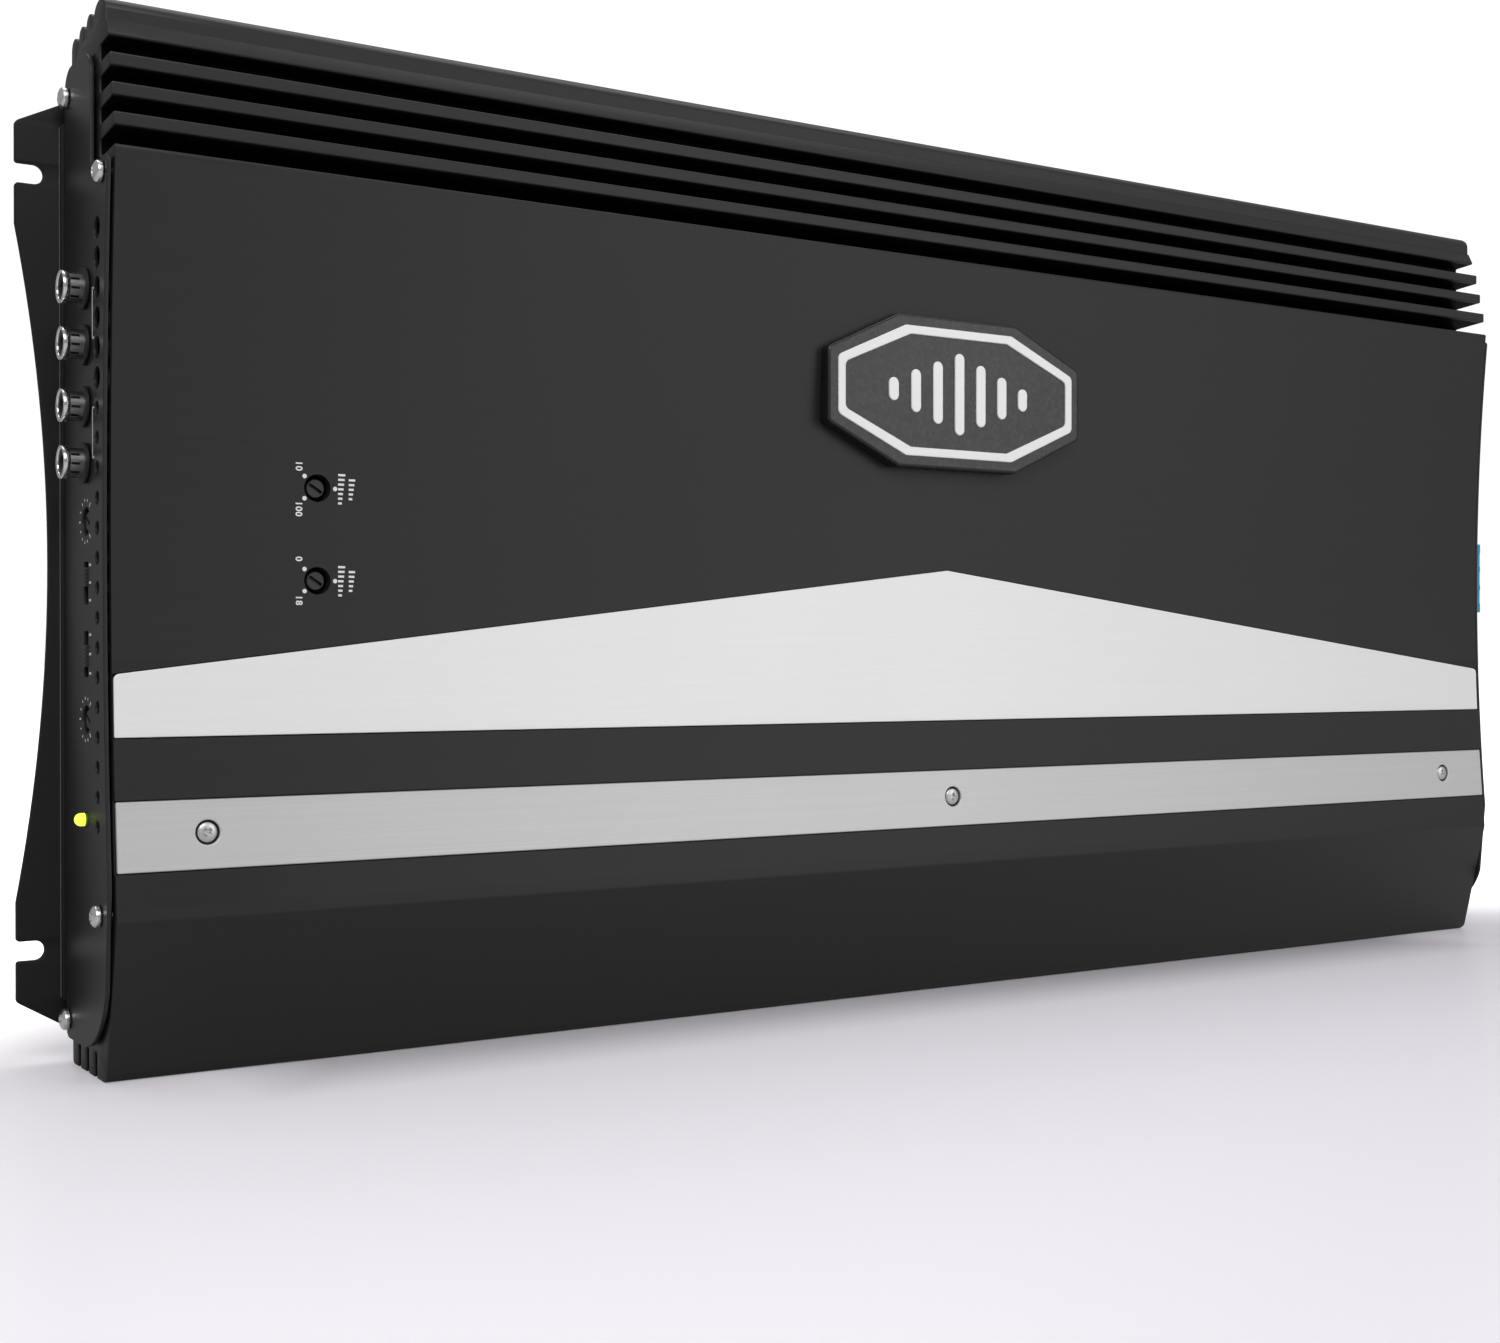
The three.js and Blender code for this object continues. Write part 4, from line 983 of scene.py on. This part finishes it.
def jack_parts(out):
    """The turned pieces of one jack that reaches out by so much, as (name, material, slot, object)."""
    washer = [(3.7, 0), (4.9, 0), (5.05, 0.15), (5.05, 0.65), (4.9, 0.8), (3.7, 0.8)]
    # Heights in the next three are measured back from the jack's outer end.
    rim = [
        (3.15, 1.75), (3.65, 1.75), (3.75, 1.6), (4.05, 1.45), (4.15, 1.3), (4.15, 0.3), (4.05, 0.08),
        (3.85, 0), (3.45, 0), (3.25, 0.12), (3.15, 0.3),
    ]
    insert = [(1.7, 1.9), (3.1, 1.9), (3.1, 0.5), (3.0, 0.4), (1.85, 0.4), (1.7, 0.55)]
    contact = [(0.95, out + 2), (1.5, out + 2), (1.5, 1.75), (1.4, 1.6), (1.1, 1.6), (0.95, 1.85)]
    # The barrel and the contact take the nickel material: painted dark reflection and shade on chrome.
    parts = [
        ("barrel", "nickel", "bright_jack", jack_barrel(out)),
        ("washer", "black", "black_plastic", turned("washer", washer, 64, closed=True)),
    ]
    for name, key, slot, profile in (
        ("rim", "bright", "bright_jack", rim),
        ("insert", "black", "black_plastic", insert),
        ("contact", "nickel", "bright_jack", contact),
    ):
        heights = [(radius, out - back) for radius, back in profile]
        parts.append((name, key, slot, turned(name, heights, 64, closed=True)))
    return parts


def make_jacks():
    low, high = box_mm("rca_sleeve_1")
    base = -high.x
    out = -low.x - base
    parts = jack_parts(out)
    for i in range(1, 5):
        node = f"rca_sleeve_{i}"
        stand = facing(LEFT, (-base, middle(node).y, middle(node).z))
        for name, key, slot, source in parts:
            piece = add_object(f"phono_{name}_{i}", source.data.copy())
            piece.matrix_world = stand
            settle(piece, key, replaces=[node] if name == "barrel" else ())
    for part in parts:
        bpy.data.objects.remove(part[-1])
    for name, pair in (("upper", (1, 2)), ("lower", (3, 4))):
        make_jack_housing(name, pair, base, out - 1.45)


def make_jack_housing(name, pair, base, length):
    node = f"rca_housing_{name}"
    low, high = box_mm(node)
    pieces = [block("part", (-END + 0.6, low.y, low.z), high, 0.5)]
    core = [(1.6, -4.5), (2.8, -4.5), (2.8, length - 0.3), (2.6, length)]
    core += [(1.75, length), (1.6, length - 0.15)]
    for number in pair:
        centre = middle(f"rca_sleeve_{number}")
        piece = turned("part", core, 48, closed=True)
        piece.matrix_world = facing(LEFT, (-base, centre.y, centre.z))
        pieces.append(piece)
    settle(merge(f"phono_housing_{name}", pieces), "black", replaces=[node])


# ---- Dials, switches and lamp ----
SHAFT_RADIUS = 2.45
DIAL_SLOT = patch(0, 0, 1.95, 0.45, 0.2)
SLOT_LEAN = 33.0  # degrees by which a dial's slot leans, down to the right


def make_dial_shafts():
    for name, direction in (("gain", LEFT), ("crossover", LEFT), ("subsonic", FRONT), ("bass", FRONT)):
        node = f"{name}_pot_shaft"
        low, high = box_mm(node)
        tip = middle(node)
        axis = "x" if direction == LEFT else "y"
        setattr(tip, axis, getattr(low, axis))
        long = getattr(high, axis) - getattr(low, axis)
        wide = SHAFT_RADIUS
        profile = [(0, -long), (wide - 0.1, -long), (wide, -long + 0.1)]
        profile += [(wide, -0.4), (wide - 0.1, -0.12), (wide - 0.25, 0), (0, 0)]
        shaft = turned(f"{name}_dial_shaft", profile, 64)
        carve(shaft, [slab("cut", DIAL_SLOT, -1.3, 1, upright, edge=0)])
        shaft.matrix_world = facing(direction, tip)
        spin_to_slot(shaft, direction)
        settle(shaft, "dial", f"{name}_dial", [node])


def spin_to_slot(shaft, direction):
    """Turns a shaft round its own axis so that its slot leans as the CAD one does."""
    along = shaft.matrix_world.to_3x3() @ Vector((1, 0, 0))
    up = Vector((0, 0, 1))
    right = up.cross(-direction) * -1
    lean = math.radians(-SLOT_LEAN)
    wanted = right * math.cos(lean) + up * math.sin(lean)
    turn = math.atan2(along.cross(wanted).dot(direction), along.dot(wanted))
    shaft.matrix_world = shaft.matrix_world @ Matrix.Rotation(turn, 4, "Z")


def make_sliders():
    for name in SWITCH_WINDOWS:
        node = f"{name}_slider"
        low, high = box_mm(node)
        slider = block(f"{name}_knob", low, high, 0.25)
        ridges = []
        for k in range(1, 5):
            z = low.z + (high.z - low.z) / 5 * k
            groove = ((low.x - 1, low.y - 1, z - 0.22), (low.x + 0.5, high.y + 1, z + 0.22))
            ridges.append(block("cut", *groove, 0))
        carve(slider, ridges)
        settle(slider, "dial", f"{name}_slide", [node])


def make_lamp():
    node = "power_led"
    low, high = box_mm(node)
    foot = low.x - high.x
    radius = LAMP_RADIUS
    stand = facing(LEFT, (low.x, middle(node).y, middle(node).z))
    dome = [(0, -LAMP_LIT), (radius, -LAMP_LIT)] + arc(0, -radius, radius, 0, 81, 9) + [(0, 0)]
    body = [(0, foot), (1.9, foot), (1.9, foot + 1), (radius, foot + 1.05)] + dome[1::-1]
    for name, profile, key in (("power_lamp_dome", dome, "lamp"), ("power_lamp_body", body, "lens")):
        piece = turned(name, profile, 40)
        piece.matrix_world = stand
        settle(piece, key, replaces=[node])


# ---- Printed marks ----
INK = 0.03
FACE_DOTS = ((-3.4, 2.9), (-3.4, -2.7), (4.7, 0.0))
FACE_DOT_RADIUS = 0.57
NUMBER_OUT = 4.95  # from a front dial's centre to its column of figures
NUMBER_TALL = 2.4
LEVEL_COLUMNS = ((6.45, 1.9, 7), (9.2, 1.7, 5))  # place, width and number of bars beside a front dial
LEVEL_PITCH = 1.2
FACE_SCALES = {"subsonic": (("10", 5.4), ("100", -5.4)), "bass": (("0", 5.4), ("18", -5.0))}


def print_on_face(name, outline, height):
    """A printed mark on the front face, standing INK proud of it at one height."""
    w = face_depth(height) - INK
    settle(slab(name, outline, w, w + INK + 0.2, along_depth, edge=0), "ink")


def print_on_panel(name, outlines):
    x = box_mm("control_panel")[0].x
    marks = [slab("part", outline, x - INK, x, along_x, edge=0) for outline in outlines]
    settle(merge(name, marks), "ink")


def dial_scale(z):
    """Ticks round a dial hole on the control panel, open towards the mounting side."""
    ticks = []
    centre = Vector((CONTROL_DEPTH, z))
    for k in range(11):
        angle = math.radians(180 - 135 + 27 * k) + math.pi
        near, far = (4.7, 6.0) if k % 5 == 0 else (4.9, 5.6)
        side = Vector((-math.sin(angle), math.cos(angle))) * 0.2
        ray = Vector((math.cos(angle), math.sin(angle)))
        corners = ((near, -1), (far, -1), (far, 1), (near, 1))
        ticks.append([tuple(centre + ray * reach + side * sign) for reach, sign in corners])
    return ticks


def make_panel_marks():
    for dial in DIALS:
        print_on_panel(f"{dial}_scale", dial_scale(middle(f"{dial}_pot_shaft").z))
    bars = []
    for z0, z1 in SWITCH_WINDOWS.values():
        bars += [patch(CONTROL_DEPTH - 3.8, z, 0.8, 0.3) for z in (z0 + 0.9, (z0 + z1) / 2, z1 - 0.9)]
    print_on_panel("switch_marks", bars)
    bars = []
    u = CONTROL_DEPTH - 6.3
    for first, second in ((1, 2), (3, 4)):
        z = (middle(f"rca_sleeve_{first}").z + middle(f"rca_sleeve_{second}").z) / 2
        bars.append(patch(u, z, 0.25, 6))
        bars += [rectangle(u - 1.4, u + 0.25, end - 0.25, end + 0.25) for end in (z - 6, z + 6)]
    print_on_panel("jack_brackets", bars)


def make_face_marks():
    for name, figures in FACE_SCALES.items():
        centre = middle(f"{name}_pot_shaft")
        for k, (dx, dz) in enumerate(FACE_DOTS):
            v = centre.z + dz
            print_on_face(f"{name}_dot_{k + 1}", circle(centre.x + dx, v, FACE_DOT_RADIUS, 24), v)
        for text, dz in figures:
            make_number(f"{name}_figure_{text}", text, centre.x - NUMBER_OUT, centre.z + dz)
        for column, (dx, wide, count) in enumerate(LEVEL_COLUMNS):
            left = centre.x + dx - wide / 2
            for k in range(count):
                v = centre.z + LEVEL_PITCH * (k - (count - 1) / 2)
                long = wide * (0.45 + 0.55 * (k + 1) / count)
                bar = rectangle(left, left + long, v - 0.28, v + 0.28)
                print_on_face(f"{name}_level_{column + 1}_{k + 1}", bar, v)


def make_number(name, text, x, z):
    """Dial figures, printed sideways so that they read with the amplifier lying flat."""
    curve = bpy.data.curves.new(name, "FONT")
    curve.body = text
    curve.size = NUMBER_TALL * MM
    curve.extrude = INK * MM
    curve.align_x = "CENTER"
    curve.align_y = "CENTER"
    curve.offset = 0.00006
    curve.space_character = 1.1
    label = add_object(name, curve)
    label.matrix_world = (
        Matrix.Translation(along_depth(x, z, face_depth(z) - INK))
        @ Euler((math.pi / 2, 0, 0)).to_matrix().to_4x4()
        @ Matrix.Rotation(-math.pi / 2, 4, "Z")
    )
    mesh = settled_mesh(label)
    mesh.transform(label.matrix_world)
    bpy.data.objects.remove(label)
    settle(add_object(name, mesh), "ink")


# ---- Terminals and fuses ----
TERMINALS = (("power_terminal", 3, 4.5, 2.6, "brass"), ("speaker_terminal", 4, 3.5, 2.0, "bright"))
CLAMP_WALL = 0.7
SCREW_SLOT = patch(0, 0, 4, 0.42)


def make_terminal_block(name, count, well, radius, metal):
    """A block with count wire wells of half size well, each with a clamp and a slotted screw."""
    node = f"{name}_block"
    low, high = box_mm(node)
    y = (low.y + high.y) / 2 + 1
    hole = [(0, -12), (radius + 0.3, -12), (radius + 0.3, 0.2), (radius + 1.2, 1), (0, 1)]
    screws = [f"{name}_screw_{i + 1}" for i in range(count)]
    cutters = []
    for screw in screws:
        centre = middle(screw)
        z = centre.z
        cutters.append(block("cut", (high.x - 14, y - well, z - well), (high.x + 2, y + well, z + well), 0.4))
        cutters.append(turned("cut", hole, 40))
        cutters[-1].matrix_world = facing(FRONT, (centre.x, low.y, z))
    body = carve(block(f"{name}_housing", low, high, 0.7), cutters)
    settle(body, "black", replaces=[node])
    half = well - 0.15
    for i, screw in enumerate(screws):
        centre = middle(screw)
        outline = patch(y - DEPTH_ZERO, centre.z, half, half, 0.4)
        inside = patch(y - DEPTH_ZERO, centre.z, half - CLAMP_WALL, half - CLAMP_WALL, 0.3)
        reach = (high.x - 13.5, high.x - 2.2)
        clamp = slab(f"{name}_clamp_{i + 1}", outline, *reach, along_x, holes=[inside], edge=0.15)
        settle(clamp, metal)
        front, back = (corner.y for corner in box_mm(screw))
        long = back - front
        profile = [(0, -long), (radius, -long), (radius, -0.3), (radius - 0.3, 0), (0, 0)]
        stud = turned(f"{name}_stud_{i + 1}", profile, 40)
        carve(stud, [slab("cut", SCREW_SLOT, -1.2, 1, upright, edge=0)])
        stud.matrix_world = facing(FRONT, (centre.x, front, centre.z)) @ Matrix.Rotation(0.5 * i, 4, "Z")
        settle(stud, "bright", replaces=[screw])


def make_fuses():
    low, high = box_mm("fuse_holder")
    cutters = []
    for i in (1, 2):
        start, end = box_mm(f"fuse_{i}")
        start.x, end.x = high.x - 5.7, high.x + 1.7
        room = Vector((0.3, 0.3, 0.3))
        cutters.append(block("cut", start - room, end + room, 0.3))
    holder = carve(block("fuse_socket", low, high, 0.8), cutters)
    settle(holder, "black", replaces=["fuse_holder"])
    for i in (1, 2):
        make_fuse(i, high.x - 5.7)


def make_fuse(number, foot):
    """A see-through fuse body, hollow below and ribbed above, round a metal link with two blades."""
    node = f"fuse_{number}"
    low, high = box_mm(node)
    y, z = middle(node).yz
    shoulder = high.x - 4.5
    lower = block("part", (foot, low.y, low.z), (shoulder, high.y, high.z), 0.5)
    upper = block("part", (shoulder - 1, low.y, low.z + 0.9), (high.x, high.y, high.z - 0.9), 0.4)
    body = carve(lower, [upper], join=True)
    hollow_end = (shoulder + 2.5, high.y - 1.3, high.z - 1.5)
    cutters = [block("cut", (foot - 2, low.y + 1.3, low.z + 1.5), hollow_end, 0.3)]
    for side in (low.y, high.y):
        for at in (z - 7, z, z + 7):
            rib = ((shoulder + 0.6, side - 0.35, at - 2.6), (high.x + 1, side + 0.35, at + 2.6))
            cutters.append(block("cut", *rib, 0.1))
    carve(body, cutters)
    body.name = f"blade_fuse_{number}"
    settle(body, "fuse", replaces=[node])
    link = []
    for at in (z - 9, z + 9):
        link.append(block("part", (foot - 11, y - 0.4, at - 4), (shoulder - 2, y + 0.4, at + 4), 0.1))
    bow = arc(shoulder - 7, z, 7.5, -62, 62, 16) + arc(shoulder - 7, z, 5.8, 62, -62, 16)
    link.append(slab("part", bow, depth_of(y) - 0.3, depth_of(y) + 0.3, along_depth, edge=0.05))
    settle(merge(f"fuse_link_{number}", link), "bright")


# ---- CAD pieces that stay as they are, inside the case ----
KEPT = {
    "board": ("main_board", "input_board", "dial_board"),
    "fibre": ("insulating_sheet",),
    "copper": ("toroid_1", "toroid_2"),
    "sleeve": ("capacitor_1", "capacitor_2", "capacitor_3"),
    "black": ("transistor_row", "gain_pot_body", "crossover_pot_body", "subsonic_pot_body", "bass_pot_body",
              "filter_switch_body", "mode_switch_body"),
}


def dress_kept_nodes():
    for key, nodes in KEPT.items():
        for node in nodes:
            paint(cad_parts[node].data, key)


# ---- Stage, light and camera ----
FLOOR_REACH = (3.2, 5.0, 0.0)
FLOOR_SHIFT = (0.0, 0.65, 0.0)
# Half sizes in metres of the painted contact shadow: inside them the floor's glow is held back.
SHADOW_FOOTPRINT = (0.2, 0.022)
# Painted light: the floor is lighter on the left and darker on the right.
FLOOR_LIT_LEFT = (0.82, 0.785, 0.84)
FLOOR_SHADED_RIGHT = (0.57, 0.54, 0.59)
FLOOR_BOUNCE = (0.5, 0.5, 0.5)
FLOOR_GLOW = 0.25
FLOOR_HALF = 30  # metres


def make_floor():
    """A pale floor that fades to white far off, with painted light: lighter on the left and darker on the
    right, and its faint glow stops short of the footprint, leaving a painted contact shadow there.
    """
    bm = bmesh.new()
    bmesh.ops.create_grid(bm, x_segments=8, y_segments=8, size=FLOOR_HALF)
    floor = add_object("floor", mesh_of("floor", bm))
    nodes = Nodes(bpy.data.materials.new("pale_floor"))
    away = nodes.add("Mapping", Vector=nodes.place, Location=FLOOR_SHIFT, Scale=FLOOR_REACH)
    length = nodes.add("VectorMath")
    length.operation = "LENGTH"
    nodes.feed(length.inputs[0], away.outputs[0])
    fade = nodes.spread(length.outputs["Value"], 0.0, 1.0, 1.05, 1.55)
    seen = nodes.camera_ray()
    x, y, _ = nodes.axes()
    # Painted light: lighter towards the left, darker towards the right.
    tone = nodes.blend(nodes.spread(x, 0.0, 1.0, -0.4, 0.5), FLOOR_LIT_LEFT, FLOOR_SHADED_RIGHT)
    tone = nodes.blend(fade, tone, (1.0, 1.0, 1.0))
    nodes.feed("Base Color", nodes.blend(seen, FLOOR_BOUNCE, tone))
    nodes.feed("Emission Color", tone)
    # Painted contact shadow: the glow rises from nothing at the footprint's edge to full 3 cm beyond it.
    sides = [nodes.math("SUBTRACT", nodes.math("ABSOLUTE", at), half) for at, half in zip((x, y), SHADOW_FOOTPRINT)]
    near = nodes.spread(nodes.math("MAXIMUM", *sides), 0.0, FLOOR_GLOW, 0.0, 0.03)
    nodes.feed("Emission Strength", nodes.math("MULTIPLY", nodes.math("MAXIMUM", near, fade), seen))
    nodes.feed("Roughness", 0.35)
    nodes.feed("Specular IOR Level", 0.3)
    floor.data.materials.append(nodes.owner)


def area_light(name, place, aim, size, power):
    light = bpy.data.lights.new(name, "AREA")
    light.shape = "RECTANGLE"
    light.size, light.size_y = size
    light.energy = power
    lamp = add_object(name, light)
    lamp.location = place
    lamp.rotation_euler = (Vector(aim) - Vector(place)).to_track_quat("-Z", "Y").to_euler()


WORLD_LIGHT = 0.3  # strength of the surroundings as light
WORLD_SEEN = 1.05  # strength of the surroundings where the camera sees them


def make_world():
    world = bpy.data.worlds.new("studio")
    bpy.context.scene.world = world
    nodes = Nodes(world, "Background")
    nodes.feed("Color", (1, 1, 1))
    nodes.feed("Strength", nodes.spread(nodes.camera_ray(), WORLD_LIGHT, WORLD_SEEN, 0.0, 1.0))


CAMERA_PLACE = (-0.3873, -0.4995, 0.1026)
CAMERA_YAW = 33.106
CAMERA_PITCH = -0.357
CAMERA_ROLL = 0.007
SENSOR = 36.0
LENS = 47.856


def make_camera():
    data = bpy.data.cameras.new("camera")
    data.sensor_width = SENSOR
    data.lens = LENS
    data.clip_start = 0.02
    data.clip_end = 100
    camera = add_object("camera", data)
    turn = Euler((math.radians(90 + CAMERA_PITCH), 0, math.radians(-CAMERA_YAW)))
    camera.matrix_world = (
        Matrix.Translation(Vector(CAMERA_PLACE))
        @ turn.to_matrix().to_4x4()
        @ Matrix.Rotation(math.radians(CAMERA_ROLL), 4, "Z")
    )
    bpy.context.scene.camera = camera


def main():
    bpy.context.scene.view_settings.view_transform = "Standard"
    make_camera()
    make_materials()
    make_case()
    make_inlays()
    make_badge()
    make_control_panel()
    make_terminal_panel()
    make_base_plate()
    make_screws()
    make_jacks()
    make_dial_shafts()
    make_sliders()
    make_lamp()
    make_panel_marks()
    make_face_marks()
    for terminal in TERMINALS:
        make_terminal_block(*terminal)
    make_fuses()
    dress_kept_nodes()
    make_floor()
    make_world()
    area_light("key", (-0.9, -1.8, 1.6), (0, 0, 0.1), (1.6, 1.2), 30)
    area_light("top", (0.2, 0.3, 1.8), (0, 0, 0.2), (2.2, 1.2), 16)
    area_light("right", (1.1, -1.7, 0.7), (0.1, 0, 0.1), (1.2, 1.4), 9)


main()
